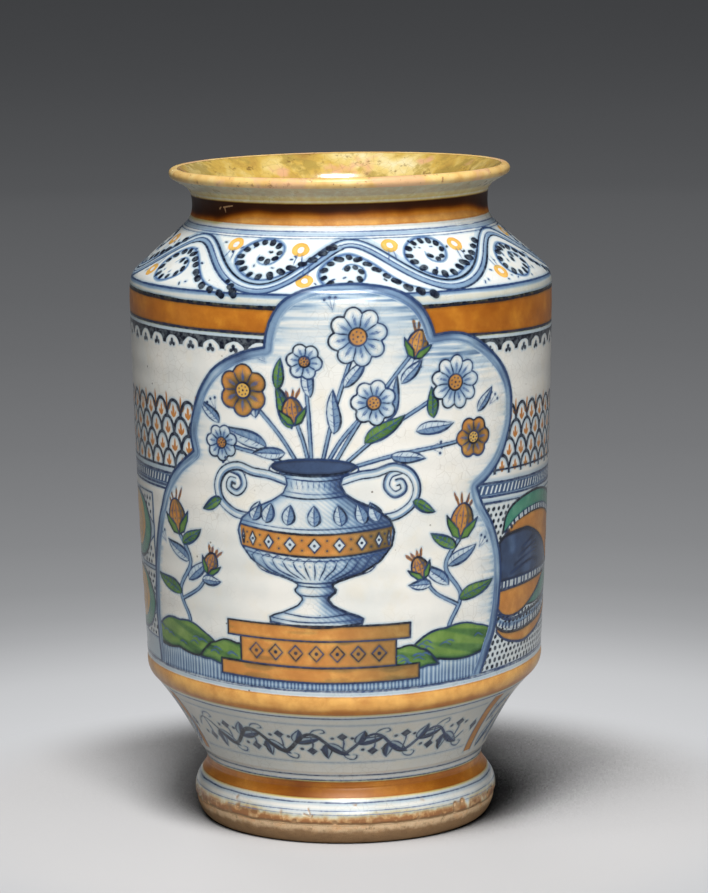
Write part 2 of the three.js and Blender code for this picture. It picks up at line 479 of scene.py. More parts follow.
def paint_neck():
    """An orange band, thick and brown under the flange, the brown mostly painted shade, over two fine lines
    and a blue edge.
    """
    s = UP + 0.5 * coarse
    band(*NECK_BAND, "orange")
    # Painted shade: the band browns under the flange and towards both sides, and a faint wash greys its top
    # edge; its foot is thinned paler as painted light.
    side = 3.6 * smooth(-34, -56, ANGLES) * smooth(-150, -110, ANGLES)
    side = side + 3.0 * smooth(56, 76, ANGLES) * smooth(150, 110, ANGLES)
    depth = s + side + 0.4 * medium
    browning_and_painted_light[:] = browning_and_painted_light + 0.94 * smooth(261.8, 267.0, depth) * smooth(269.4, 268.4, UP)
    browning_and_painted_light[:] = browning_and_painted_light - 0.24 * smooth(263.2, 261.0, depth) * smooth(258.6, 259.4, s)
    raise_to(wash, 0.13 * smooth(267.6, 269, s))
    raise_to(warm, 0.36 * smooth(267.8, 268.6, s))
    raise_to(warm, 0.12 * smooth(258.4, 259.6, s) * smooth(261.6, 260.3, s))
    for level, width, dark, layer in (
        (259.3, 0.6, 0.20, "wash"), (257.5, 0.65, 0.66, "ink"), (256.5, 1.5, 0.42, "wash"),
        (255.8, 0.55, 0.6, "ink"), (254.9, 0.5, 0.72, "ink"),
    ):
        level_line(level, width, dark, layer)
    scratch(SCRATCHES, 0.42, 0.15)


# The shoulder's wave of stem: each crest and trough by angle and level
WAVE = (
    (-176, 253.9), (-146, 236.9), (-115.5, 254), (-85.5, 236.8), (-55, 253.8), (-22.5, 236.7),
    (3.5, 253.6), (32, 237.2), (65, 254), (95, 236.9), (124, 253.8), (154.5, 237),
)


def wave_level(a):
    """The stem's level at an angle, eased from each crest to the next trough."""
    angles = np.array([WAVE[-1][0] - 360] + [w[0] for w in WAVE] + [WAVE[0][0] + 360], float)
    levels = np.array([WAVE[-1][1]] + [w[1] for w in WAVE] + [WAVE[0][1]])
    i = np.clip(np.searchsorted(angles, a) - 1, 0, len(WAVE))
    t = (a - angles[i]) / (angles[i + 1] - angles[i])
    return levels[i] + (levels[i + 1] - levels[i]) * (0.5 - 0.5 * np.cos(math.pi * t))


# The chain of dots in a lobe over a trough and under a crest: places from the stem to the middle,
# as angle from the lobe's own and level
OVER = (
    (20, 251.6), (16.5, 249), (13.5, 246.8), (10, 245), (6.5, 243.2), (2.5, 241), (-1.5, 240.6), (-5.2, 242),
    (-8.4, 244.4), (-10.4, 247.4), (-9, 251), (-4.8, 253.2), (-0.2, 253.2), (3, 251.2), (2.6, 248.2),
    (0.4, 246.2), (-2.4, 246.8), (-2.6, 249.2),
)
UNDER = (
    (22, 233.6), (18, 235.2), (14.5, 237), (11.5, 239.4), (9, 241.8), (6.4, 244.4), (3, 246.8), (-0.8, 248.2),
    (-4.4, 247.2), (-7.4, 245), (-8.8, 242), (-7.4, 239), (-3.6, 237.7), (0.4, 238.9), (2.8, 241),
    (2.4, 243.6), (-0.4, 244.6), (-2.2, 242.9),
)


def dotted_spiral(a, chain, tight):
    """A curling chain of dots over a soft blue line."""
    path = spline([(a + (right if right > 4 else right * tight), level) for right, level in chain], 0.6)
    half = len(path) // 2
    heading = np.sign(path[half, 0] - path[half + 6, 0]) * np.sign(path[half, 1] - 246.5)
    outer = beside(path, -1.45 * heading)
    stroke(outer[::2], 2.0, "wash", 0.5, straight=True)
    stroke(path[::2], 3.4, "wash", 0.16, straight=True)
    stroke(outer[6:-3:2], 0.6, "ink", 0.66, wobble=0.05, straight=True)
    scale = radius_at(246) * DEG
    flat = np.column_stack([path[:, 0] * scale, arc_at(path[:, 1])])
    length = np.concatenate([[0], np.cumsum(np.hypot(*np.diff(flat, axis=0).T))])
    middle = np.array([a * scale, arc_at(246.5)])
    at = 0.0
    while at < length[-1]:
        i = int(np.searchsorted(length, at))
        inwards = middle - flat[i]
        inwards = inwards / max(np.hypot(*inwards), 0.1)
        share = at / length[-1]
        size = (1.52 - 0.34 * share) * random.uniform(0.9, 1.14)
        long = (0.85 - 0.5 * share) * random.uniform(0.5, 1.4)
        spot = near(path[i, 0], path[i, 1], *(inwards * 0.2 + random.uniform(-0.2, 0.2, 2)))
        dot(*spot, size, 1.1, lean=inwards * long)
        at += 4.9 - 1.1 * share


def paint_shoulder():
    """A waving stem round the shoulder, with a curling chain of dots, two rings and seeds in each lobe."""
    turns = np.linspace(-180, 180, 241)
    path = np.column_stack([turns, wave_level(turns)])
    for offset, width, layer, dark in (
        (-2.0, 2.0, "wash", 0.5), (1.3, 1.4, "wash", 0.5), (0.0, 2.4, "wash", 0.12), (3.0, 2.4, "wash", 0.3),
        (1.8, 0.98, "ink", 1.0), (-0.7, 0.7, "ink", 0.8), (-2.9, 0.9, "ink", 0.96),
    ):
        line = beside(path, offset)
        for start in range(0, 240, 40):
            stroke(line[start:start + 41], width, layer, dark, (0.8, 0.8), straight=True, wobble=0.15)
    for a, level in WAVE:
        trough = level < 245
        up = 1 if trough else -1
        dotted_spiral(a, OVER if trough else UNDER, random.uniform(0.94, 1.06))
        pair = ((-14.8, 252.2), (9.6, 251.0)) if trough else ((-13.4, 239.4), (15.2, 241.6))
        for right, height in pair if trough else pair[:1]:
            spot = near(a + right, height, *random.uniform(-0.4, 0.4, 2))
            ring(*spot, 2.5, 2.2)
            fill(oval(*spot, 3.6, 3.4), shade=0.06)
            for side in (-0.9, 0.9):
                foot = near(*spot, side * 1.8 + random.uniform(-0.5, 0.5), -up * 8.6)
                stroke([near(*spot, side, -up * 2.6), foot], 0.5, "ink", 0.62)
        chain = np.array(OVER if trough else UNDER)
        for _ in range(70):
            b = a + random.uniform(-23, 23)
            height = level_up(246, random.uniform(-14.5, 11.0))
            gap = np.hypot((chain[:, 0] + a - b) * 1.34, arc_at(chain[:, 1]) - arc_at(height)).min()
            stem = (height - wave_level(np.array([b]))[0]) * up
            rings = min(math.hypot((a + r - b) * 1.34, arc_at(h) - arc_at(height)) for r, h in pair)
            if stem > 4.6 and gap > 3.1 and rings > 4.4 and 235.6 < height < 254.2:
                size, dark = random.uniform(0.3, 0.5), random.uniform(0.7, 1.1)
                dot(b, height, size, dark, lean=random.uniform(-0.5, 0.5, 2))
    for blot in ((-30.6, 236.9, 1.7), (-29.4, 234.9, 2.0), (-28.9, 233.6, 1.5), (-32.2, 238.6, 1.3)):
        dot(*blot, 1.1)
    band(233.9, 254.9, "wash", 0.085)


def droop(a):
    """How far the upper painted band hangs down at the sides."""
    return (1.0 + 0.4 * np.sin(a * DEG)) * np.sin(a * DEG) ** 2


def upper_line(a):
    return 228.7 + 2.2 * np.sin(a * DEG) ** 2 - 0.3 * np.sin(a * DEG) - droop(a)


def lower_line(a):
    return 217.6 - 2.3 * np.sin(a * DEG) - droop(a)


SCALLOP_PITCH = 7.2


def paint_border():
    """The upper arris: a cream edge, the orange band between dark lines, and scallops with trefoils."""
    level_line(234.4, 0.9, 0.85)
    level_line(233.7, 2.0, 0.55, "wash")
    level_line(230.6, 1.4, 0.22, "wash")
    s = UP + 0.3 * medium
    raise_to(warm, 0.15 * smooth(229.8, 230.8, s) * smooth(233.4, 232.4, s) * (0.8 + 0.4 * coarse))
    band(230.0, 234.0, "wash", 0.13)
    band(lambda a: upper_line(a) - 9.9 + lower_line(a) - 217.6 + 0.4 * np.sin(a * DEG), upper_line, "orange")
    band(lower_line, upper_line, "orange")
    thick = smooth(0, 1, UP - lower_line(ANGLES) + 1) * smooth(0, 1, upper_line(ANGLES) + 1 - UP)
    browning_and_painted_light[:] = browning_and_painted_light + thick * (0.34 + 0.12 * coarse + 0.05 * medium)
    level_line(upper_line, 1.7, 1.1)
    level_line(moved(upper_line, 1.1), 0.9, 0.28, "wash")
    level_line(lower_line, 1.25, 1.0)
    level_line(moved(lower_line, -1.3), 1.0, 0.14, "wash")
    top = lower_line(ANGLES) - 2.0
    across = ((ANGLES / SCALLOP_PITCH + 0.5) % 1 - 0.5) * SCALLOP_PITCH * 1.56
    v = UP - (top - 5.1)
    arch = (np.hypot(across / 4.5, np.maximum(v, 0) / 3.5) - 1) * 3.6
    put("ink", EVERYWHERE, np.minimum(np.minimum(top - UP, v + 0.1), arch + 0.35 * fine), 1.1)
    for n in range(-25, 25):
        a = n * SCALLOP_PITCH + random.uniform(-0.2, 0.2)
        level = lower_line(a) - 7.0 + random.uniform(-0.25, 0.25)
        for right, up, size in ((0, 0.95, 0.85), (-1.1, -0.65, 0.9), (1.1, -0.6, 0.88), (0, 0, 0.8)):
            dot(*near(a, level, right, up), size * random.uniform(0.9, 1.1), 1.05)


SCALE_TOPS = tuple(tilted(level, 2.05) for level in (186.4, 179.4, 172.2, 165.3))
scales_foot = tilted(158.7, 1.1)


def paint_scales():
    """Four rows of scales, each with a flame in it, and taller flames over the top row."""
    pitch, tall = 6.0, 7.4
    wide = pitch * 1.55 / 2
    uneven = 0.5 * noise(ANGLES, 0 * ANGLES, 0 * ANGLES, 17.0, 21)
    for k, tops in enumerate(SCALE_TOPS):
        shifted = ANGLES + uneven + (k % 2) * pitch / 2
        across = ((shifted / pitch) % 1 - 0.5) * 2 * wide
        v = UP - (tops(ANGLES) - tall)
        form = np.hypot(across / wide, v / tall)
        steep = np.hypot(across / wide**2, v / tall**2)
        distance = np.abs(form - 1) * form / np.maximum(steep, 1e-4)
        value = np.where(v > -0.4, 0.74 + 0.16 * medium - distance, FLAT)
        put("ink", EVERYWHERE, np.where(np.abs(v) < 14, value, FLAT), 1.04)
        inside = np.where((v > -0.5) & (form < 1), (1 - form) * 4, 0)
        raise_to(wash, 0.16 * smooth(0, 0.6, inside) * smooth(2.2, 0.6, inside))
    for k, tops in enumerate(SCALE_TOPS):
        for n in range(60):
            shift = np.interp(-180 + (n + 0.5) * pitch, ANGLES, 2 * uneven)
            a = -180 + (n + 0.5 - (k % 2) / 2) * pitch - 0.5 * shift
            foot = tops(a) - tall + (0.6 if k < 3 else 1.2)
            high = random.uniform(4.3, 5.2) if k < 3 else random.uniform(3.6, 4.4)
            flame(a, foot, high, 1.3)
            if k == 1:
                flame(a, SCALE_TOPS[0](a) - tall + 2.6, random.uniform(6.6, 8.2), 1.1)
    level_line(scales_foot, 0.95, 1.0)


def flame(a, foot, high, width):
    """An orange flame: one upright stroke and a shorter one that bends out at each side."""
    lean = random.uniform(-0.35, 0.35)
    stroke([(a, foot), near(a, foot, lean, high)], width, "orange", ends=(1.0, 0.15), wobble=0)
    for side in (-1, 1):
        tip = near(a, foot, side * high * 0.36, high * random.uniform(0.42, 0.56))
        line = [near(a, foot, 0, 0.2), near(a, foot, side * high * 0.2, high * 0.12), tip]
        stroke(line, width * 0.8, "orange", ends=(1.0, 0.2), wobble=0)


RUNG_PITCH = 2.1


def ladder(path, width):
    """A dark ribbon along a path with pale rungs across it."""
    line = spline(path)
    stroke(line, width, "ink", 0.95, (0.9, 0.9), straight=True, wobble=0.05)
    radius = radius_at(line[:, 1]) * DEG
    steps = np.hypot(np.diff(line[:, 0]) * radius[1:], np.diff(line[:, 1]))
    length = np.concatenate([[0], np.cumsum(steps)])
    left, right = beside(line, width * 0.27), beside(line, -width * 0.27)
    for at in np.arange(RUNG_PITCH / 2, length[-1], RUNG_PITCH):
        i = min(int(np.searchsorted(length, at)), len(line) - 2)
        dab("ink", left[i], right[i], 0.56, 0.56, cut=True)


hatched_top = tilted(154.0, 2.4)
hatched_foot = tilted(149.9, 2.6)


def paint_hatched_band():
    """A dark blue band with pale slanting dashes, between plain bands and fine lines."""
    band(hatched_foot, hatched_top, "wash", 1.1)
    level_line(moved(hatched_top, 0.7), 1.1, 0.9)
    level_line(moved(hatched_top, 2.2), 1.4, 0.2, "wash")
    level_line(moved(hatched_foot, -0.7), 1.0, 0.85)
    level_line(tilted(147.0, 3.3), 0.9, 0.9)
    level_line(tilted(147.9, 3.3), 1.2, 0.25, "wash")
    for n in range(206):
        a = -180 + n * 360 / 206 + random.uniform(-0.12, 0.12)
        start, end = arc_at(hatched_foot(a) + 0.5), arc_at(hatched_top(a) - 0.4)
        for rows, columns, turn in windows(a - 0.4, a + 1.9, start, end):
            up = ARC[rows, None] - start
            x = ROUND[rows, columns] - (a + 0.75 + turn) * RADII[rows, None] * DEG - 0.42 * (up - 1.8)
            wash[rows, columns] *= 1 - 0.9 * smooth(0.75, 0.3, np.abs(x))


def dotted_ground(points, pitch=3.6):
    """A white field with a dark edge, filled with staggered dots."""
    for at, value in field(points):
        clear(at, value)
        inside = value > 1.3
        columns = ANGLES[at[1]]
        levels = LEVELS[at[0]]
        for i, level in enumerate(np.arange(levels.min(), levels.max(), pitch * 0.8)):
            for a in np.arange(columns.min() + (i % 2) * pitch / 3.1, columns.max(), pitch / 1.55):
                r = min(int(np.searchsorted(levels, level)), len(levels) - 1)
                c = min(int(np.searchsorted(columns, a)), len(columns) - 1)
                if inside[r, c]:
                    lean = (random.uniform(0, 0.25), random.uniform(0.0, 0.3))
                    dot(a, level, random.uniform(0.66, 0.9), 1.1, lean=lean)
    outline(points, 0.6, 0.9)


def fruit(a, level, half_width, half_height, side=1):
    """An upright oval fruit, yellow with a green shade along one edge and the foot."""
    shape = oval(a, level, half_width, half_height)
    fill(shape, "yellow", wipe=True)
    middle = near(a, level, -side * half_width * 0.20, half_height * 0.13)
    inner = oval(*middle, half_width * 0.80, half_height * 0.85)
    for at, value in field(shape):
        bright = np.full(value.shape, -50.0)
        for at2, value2 in field(inner, 60):
            rows, columns = (slice(one.start - two.start, one.stop - two.start) for one, two in zip(at, at2))
            if rows.start >= 0 and columns.start >= 0 and value2[rows, columns].shape == value.shape:
                bright = value2[rows, columns]
        put("teal", at, np.minimum(value, -bright))
        raise_to(wash, 0.3 * smooth(0, 1, value) * smooth(3.4, 0.5, value), at)
    for share in (0.35, 0.6):
        wide, high = half_width * share, half_height * share * 1.15
        turns = np.linspace(-1.2, 1.2, 6)
        arc = [near(a, level, wide * math.cos(t) * side, high * math.sin(t)) for t in turns]
        stroke(arc, 0.5, "ink", 0.35)
    outline(shape, 1.1, 1.0)


PANEL_FOOT = 71.5


def fruit_panel(first, last):
    """Two tiers of paired fruit between dotted corners."""
    width, top = last - first, 146.5
    box = np.array([(first, PANEL_FOOT), (last, PANEL_FOOT), (last, top), (first, top)])
    sides = [np.linspace(box[i], box[(i + 1) % 4], 8, endpoint=False) for i in range(4)]
    fill(np.vstack(sides), shade=0.3)
    middle = (first + last) / 2
    for a in (middle - width * 0.245, middle + width * 0.245):
        for level in (130.2, 96.8):
            for side in (-1, 1):
                for up in (-1, 1):
                    x, z = a + side * width * 0.245 - side * 0.3, level + up * 15.8
                    dotted_ground(np.array([(x, z), (x - side * width * 0.20, z), (x, z - up * 13)]))
            fruit(a, level, width * 0.205 * 1.53, 14.6, 1 if a > middle else -1)
    for a in (first + 0.6, middle, last - 0.6):
        stroke([(a, PANEL_FOOT + 0.5), (a, top - 0.5)], 0.9, "ink", 0.9, wobble=0.2)
    level_line(113.6, 0.9, 0.9, low=first, high=last)


def shell(upper, lower, layer, shade, line=1.0):
    """A shape of the great leaf between two edges."""
    shape = np.vstack([spline(upper, 2.5), spline(lower, 2.5)[::-1]])
    fill(shape, layer, shade, wipe=True)
    outline(shape, line, 0.98)
    return shape


# The great leaf's runs, as angle from the panel's edge and level: the green back's two edges, the
# orange roll's upper edge, the deep fold's crest, and what lies under it down to the panel's foot
BACK_TOP = (
    (1.8, 131), (3, 137.5), (6, 141.8), (11, 144.3), (18, 145.6), (25.5, 144.8), (33, 142), (41, 137),
    (49, 129), (56, 117), (60.5, 104),
)
BACK_FOOT = (
    (3, 131.5), (6, 134.5), (11, 137.6), (18, 139), (25.5, 138.4), (32, 136.2), (39, 132), (46, 125),
    (52, 115), (56, 104),
)
ROLL_TOP = (
    (3.4, 131), (6.5, 133.6), (11, 135.6), (18, 136.8), (25.5, 136.2), (32, 133.8), (38, 129.8), (44, 123),
    (49, 114), (51, 108),
)
ROLL_RIBBON = (
    (4.4, 131.6), (8, 135.2), (13, 137.3), (18, 138.2), (25, 137.6), (32, 135.2), (39, 130.8), (45.5, 123.6),
    (50.5, 114), (52.6, 108),
)
FOLD_CREST = ((10.5, 130.6), (15.5, 130.2), (23, 126), (28, 121.3), (32, 116.3), (36, 109.8))
FOLD_FOOT = ((0.6, 110.2), (12, 110.2), (24, 110.2), (36, 109.6))
FOLD_RIBBON = ((0.6, 108.5), (12, 108.6), (24, 109.2), (36, 109.8), (52, 108.8))
TONGUE_TOP = ((0.3, 106), (10, 106.4), (20, 106.8), (31, 107.4))
TONGUE_FOOT = ((0.3, 98), (3, 94.4), (7.5, 92.9), (13, 94), (17.5, 96.6), (22, 100), (27, 104), (31, 107.2))
TIP_TOP = ((16.5, 95.6), (22, 99.4), (27, 103.4), (31, 106.6), (45, 107))
TIP_FOOT = ((16.5, 95.2), (22, 94.6), (30, 95.6), (38, 99.6), (45, 106.8))
SEAM = ((0.4, 95.6), (4, 92.4), (9, 91.2), (17, 92.2), (27, 93.6), (36, 97.4), (46, 105))
LOW_RIBBON = (
    (0.4, 92.0), (3, 90.0), (7, 88.3), (12, 87.4), (18, 87.6), (27, 89), (36, 92.8), (46, 100.4), (52, 106.8),
)
KEEL_TOP = (
    (0.2, 89.6), (3.5, 86.8), (8.5, 85.3), (13.5, 84.9), (21, 85.6), (28, 87), (36, 90.6), (46, 98),
    (55, 107),
)
KEEL_FOOT = (
    (0.2, 87.6), (3.5, 83.4), (8.5, 80.6), (13.5, 79.2), (18.5, 79.6), (27, 82), (36, 85.6), (47, 93),
    (58, 105),
)


def leaf_panel(first, last, side=1):
    """A great rolled leaf: nested arcs in green, orange and deep blue between ribbons with rungs."""
    def turned(run):
        return [(first + u if side > 0 else last - u, z) for u, z in run]

    top, edge, middle = 144.3, 61.6, 108
    start = -7.5 if side > 0 and first < 60 else 0.2
    dotted_ground(np.array(turned((
        (start, PANEL_FOOT), (30, PANEL_FOOT), (edge, PANEL_FOOT), (edge, middle), (edge, top), (30, top),
        (start, top), (start, middle),
    ))), 3.2)
    shell(turned(BACK_TOP), turned(BACK_FOOT), "teal", 0.1, 1.2)
    shell(turned(ROLL_TOP), turned(((2.6, 129.4),) + FOLD_CREST), "orange", 0.0, 0.9)
    ladder(turned(ROLL_RIBBON), 2.5)
    deep = shell(turned(((0.6, 127), (3, 129.6)) + FOLD_CREST), turned(FOLD_FOOT), None, 1.3, 1.3)
    for at, value in field(deep):
        wash[at] -= 0.3 * smooth(0.4, 1.5, value) * smooth(0.2, 0.8, medium[at] + 0.4 * coarse[at])
    for k in range(4):
        outwards = np.linspace(0, 17 - 3 * k, 6)
        crease = [(6 + 2 * k + u, 112.5 + 3.4 * k + 0.13 * (18 - u) ** 0.5 * u) for u in outwards]
        stroke(turned(crease), 0.9, "ink", 0.9)
    shell(turned(TONGUE_TOP), turned(TONGUE_FOOT), "orange", 0.0, 1.1)
    shell(turned(TIP_TOP), turned(TIP_FOOT), "teal", 0.25, 0.8)
    ladder(turned(FOLD_RIBBON), 3.5)
    stroke(turned(SEAM), 1.7, "ink", 1.0, (0.6, 0.3), wobble=0)
    stroke(beside(spline(turned(SEAM)), -2.0 * side), 2.6, "wash", 0.5, straight=True)
    ladder(turned(LOW_RIBBON), 2.9)
    shell(turned(KEEL_TOP), turned(KEEL_FOOT), "orange", 0.06, 1.2)
    for a in (first + start + 0.2, last - 0.4):
        stroke([(a, PANEL_FOOT + 0.5), (a, middle), (a, top - 0.5)], 0.9, "ink", 0.9, wobble=0.2)


def paint_panels():
    """Four panels round the wall, from the medallion's right side to its left."""
    leaf_panel(47.5, 109.5)
    fruit_panel(109.5, 171)
    leaf_panel(171, 232.5, -1)
    fruit_panel(232.5, 295.5)
    level_line(71.2, 0.6, 0.95)


def leaf(a, level, length, width, turn, bend, colour=None, shade=0.5, veins=5, dark=0.95, wipe=True):
    """A pointed leaf from its foot, turned from straight up, with a midrib, veins and one half in shade."""
    t = np.linspace(0, 1, 14)
    along = length * t
    sideways = bend * length * np.sin(math.pi * t * 0.5) ** 2
    half = width / 2 * np.sin(math.pi * np.minimum(t**0.75, 1)) ** 0.9
    c, s = math.cos(turn * DEG), math.sin(turn * DEG)

    def at(u, v):
        return near(a, level, u * c + v * s, v * c - u * s)

    rib = [at(u, v) for u, v in zip(sideways, along)]
    left = [at(u - h, v) for u, h, v in zip(sideways, half, along)]
    right = [at(u + h, v) for u, h, v in zip(sideways, half, along)]
    shape = np.array(left + right[::-1][1:-1])
    fill(shape, colour, shade * 0.25, wipe)
    fill(np.array(rib + right[::-1][1:-1]), shade=shade)
    stroke(left, 0.62, "ink", dark * 0.9, wobble=0.05)
    stroke(right, 0.95, "ink", dark, wobble=0.05)
    stroke(rib, 0.5, "ink", dark * 0.85, wobble=0.05)
    for k in range(veins):
        i = 2 + k * 9 // veins
        for side in (-1, 1):
            tip = at(sideways[i] + side * half[min(i + 1, 13)] * 0.75, along[i] + width * 0.22)
            stroke([at(sideways[i], along[i]), tip], 0.4, "ink", dark * 0.6, wobble=0)


# The label's place on the bevel: its two upright bars by angle, and its vine's ends and level
LABEL_BARS = ((-68.5, -64.3), (53.2, 57.8))
VINE_START, VINE_END = -58, 47
VINE_LEVEL = 45.2


def paint_lower():
    """The orange band of the lower arris between its lines, and the bevel's vine and leaves."""
    band(60.1, 68.4, "orange")
    # Painted light and shade: the band's upper half on the arris is thinned paler as a painted highlight, and
    # its lower edge is browned as painted shade where the arris turns under.
    pool = UP + 0.8 * coarse
    lit = smooth(61.2, 63.6, pool) * smooth(69.5, 68.5, UP)
    low = smooth(59, 60, UP) * smooth(62.6, 61.0, pool)
    browning_and_painted_light[:] = browning_and_painted_light - 0.37 * lit + 0.2 * low
    level_line(70.4, 0.5, 0.75)
    level_line(69.2, 0.9, 0.3, "wash")
    level_line(58.2, 0.7, 0.85)
    # A faint cream and a faint wash over the label's place: partly the glaze's own grey, partly painted shade
    # of the bevel's underside.
    raise_to(warm, 0.05 * smooth(30, 31, UP) * smooth(58, 57, UP))
    band(30.5, 57.6, "wash", 0.06)
    level_line(29.3, 0.6, 0.9)
    level_line(26.9, 0.55, 0.9)
    for level in (54.7, 35.9):
        level_line(level, 0.4, 0.42, low=-62, high=51)
    for bar in LABEL_BARS:
        band(33.0, 57.0, "orange", 1.0, *bar)
        for edge in bar:
            stroke([(edge, 33), (edge, 45), (edge, 57.4)], 0.5, "ink", 0.7, wobble=0.15)
    vine()
    back_band()


def vine():
    """The label's place: a running vine with paired leaves, lozenges and berries."""
    half_wave, swing = 10.5, 4.6
    a = np.linspace(VINE_START, VINE_END, 90)
    line = np.column_stack([a, VINE_LEVEL + swing * np.sin((a - VINE_START) * (2 * math.pi / 21.0))])
    stroke(line[::2], 1.7, "ink", 1.0, (0.3, 0.3))
    for n in range(11):
        b = VINE_START + n * half_wave
        side = -1 if n % 2 else 1
        if VINE_START + 1 < b < VINE_END:
            for turn, size in ((62, 11.5), (8, 8.6)) if side > 0 else ((118, 11.5), (172, 8.6)):
                leaf(b, VINE_LEVEL, size, 4.0, turn, 0.12, None, 1.1, 0, wipe=False, dark=1.05)
        crest = (b + half_wave / 2, VINE_LEVEL + side * swing)
        if crest[0] < VINE_END:
            tip = near(*crest, 0, -side * 10.2)
            stroke([crest, near(crest[0], VINE_LEVEL, 0.7, -side * 0.5), tip], 0.7, "ink", 0.9)
            fill(lozenge(*tip, 2.3, 2.4), "ink")
            for right in (-4.2, 4.2):
                dot(*near(*tip, right, side), 0.8, 1.0)
            curl = ((0, 0.4), (2.2, 3.0), (5.2, 3.6), (6.2, 1.6), (4.6, 0.9))
            stroke([near(*crest, x, side * y) for x, y in curl], 0.6, "ink", 0.9)
    for b in (-62.0, 50.4):
        fill(lozenge(b, VINE_LEVEL, 1.9, 3.0), "ink")


def back_band():
    """Round the back of the bevel: leaning leaves in pairs between the lines."""
    for n in range(26):
        a = 61.5 + n * 9.0
        leaf(a, 33.5, 17, 5.2, 24, 0.12, None, 0.7, 4)
        leaf(a + 4.4, 54.2, 15, 4.4, 204, 0.12, None, 0.45, 4)
        dot(a + 2.2, 44.6, 0.7, 1.0)
        if n % 2:
            ring(a - 1.9, 50.8, 1.3, 0.8)
        else:
            dot(a - 1.9, 51, 0.55)
        dot(a + 6.6, 37.4, 0.5)


# The foot's zone ends below this level, the bare clay's ragged edge lies about the next one, and
# no chip lies above the last
FOOT_TOP = 30
BARE_EDGE = 9.5
CHIPS_TOP = 18.5


def paint_foot():
    """The waist's orange band, fine lines under it, and the worn and chipped edge of the bare clay."""
    band(19.8, 26.2, "orange")
    # The waist band's browning, uneven with the pigment, is painted shade under the bevel's overhang.
    browning_and_painted_light[:] = browning_and_painted_light + 0.27 * smooth(19, 19.8, UP) * smooth(27, 26.2, UP) * (1 + coarse)
    level_line(18.1, 0.6, 0.8)
    level_line(14.9, 0.45, 0.62)
    level_line(17.2, 1.0, 0.12, "wash")
    level_line(13.3, 0.45, 0.5, low=-50, high=75)
    level_line(12.4, 1.6, 0.08, "wash")
    edge = BARE_EDGE + 1.1 * coarse + 0.45 * medium + 0.22 * fine
    put("bare", EVERYWHERE, np.where(UP < FOOT_TOP, edge - UP, FLAT))
    worn = smooth(15.6, 10.2, UP + 2.4 * coarse + medium)
    raise_to(warm, worn * (UP < FOOT_TOP) * smooth(-1.0, 0.4, medium + 0.5 * fine + 0.3))
    chips = noise(X, Y, Z, 4.5, 31) + 0.4 * fine - 1.08 + 0.5 * smooth(17, 11, UP)
    put("bare", EVERYWHERE, np.where(UP < CHIPS_TOP, chips * 2.2, FLAT))
    scratch(((-14.0, 15.6, 0.9, -2.4), (-15.6, 13.4, 2.4, -0.9), (-12.4, 12.8, -0.6, -1.6)), 0.35, 0.2)


# The medallion's lobes, each from cusp to cusp, clockwise from the foot of the left side
LOBES = (
    (
        (-65.2, 71.3), (-66.0, 79), (-66.7, 92), (-66.0, 107), (-64.4, 121), (-61.3, 135), (-56.4, 150),
        (-50.6, 160), (-43.3, 168),
    ),
    (
        (-43.3, 168), (-44.3, 175), (-43.3, 183), (-41.4, 191), (-38.6, 198), (-34.8, 204), (-30, 208.6),
        (-25, 211.5), (-20.2, 213),
    ),
    (
        (-20.2, 213), (-19.6, 219), (-18.1, 225.5), (-15.4, 231.4), (-11.2, 235.6), (-5, 237.9), (3, 238.7),
        (11, 237.5), (17, 234.6), (21.2, 229.6), (23.9, 223), (25.3, 217),
    ),
    (
        (25.3, 217), (29.8, 217.5), (34, 216.7), (38.5, 213.8), (42.7, 209.5), (46.6, 204.2), (49.7, 198.4),
        (51.7, 192), (52.3, 184), (51.2, 174), (48, 163.5), (43.4, 156.4), (39.1, 152.2),
    ),
    (
        (39.1, 152.2), (41, 145), (44.4, 137.5), (47.3, 128), (48.8, 117), (48.6, 104), (47.2, 91),
        (44.4, 80), (41.6, 71.3),
    ),
)
MEDALLION_FOOT = 71.3
BORDER = 4.2
below_it = [(41.6, MEDALLION_FOOT), (36, 50), (-60, 50)]
lobed = np.vstack([spline(lobe, 3.0)[:-1] for lobe in LOBES] + [below_it])
frame_depth = np.full(wash.shape, -50.0)
for at, value in field(lobed, 6.0):
    frame_depth[at] = value
above_foot = ARC[:, None] - arc_at(MEDALLION_FOOT)
medallion = np.minimum(frame_depth, above_foot)


def apart(at, a, level):
    """How far each place of a window lies right of and up the skin from a place."""
    return ROUND[at] - a * RADII[at[0], None] * DEG, ARC[at[0], None] - arc_at(level)


def flower(a, level, size, petals, turn, heart, petal):
    """An open flower seen from the front."""
    def spoke(angle, *shares):
        return [near(a, level, size * r * math.cos(angle), size * r * math.sin(angle)) for r in shares]

    t = np.linspace(0, 2 * math.pi, petals * 9, endpoint=False)
    reach = size * (0.76 + 0.24 * np.abs(np.cos(petals * (t - turn) / 2)) ** 0.7)
    shape = nears(a, level, zip(reach * np.cos(t), reach * np.sin(t)))
    fill(shape, petal, wipe=True)
    for at, value in field(shape):
        x, s = apart(at, a, level)
        soft = 0.55 * smooth(size * 0.86, size * 0.30, np.hypot(x, s))
        soft = soft + 0.22 * smooth(-size, size, x - s) * smooth(0.9, 0.2, value / 3)
        raise_to(wash, soft * smooth(-0.2, 0.3, value), at)
    outline(shape, 0.8, 0.95)
    for k in range(petals):
        valley = turn + (k + 0.5) * 2 * math.pi / petals
        stroke(spoke(valley, 0.3, 0.55, 0.78), 0.6, "ink", 0.9)
        for side in (-0.22, 0, 0.22):
            vein = valley + math.pi / petals + side * 2.2 / petals
            stroke(spoke(vein, 0.38, 0.56, 0.70 + 0.1 * (side == 0)), 0.4, "ink", 0.6, wobble=0.04)
    inner = oval(a, level, size * 0.3, size * 0.3)
    fill(inner, heart, wipe=True)
    outline(inner, 0.75, 1.0)
    for k in range(7):
        dot(*spoke(k * 0.9, 0.17)[0], 0.36, 0.95)
    dot(a, level, 0.45, 1.0)


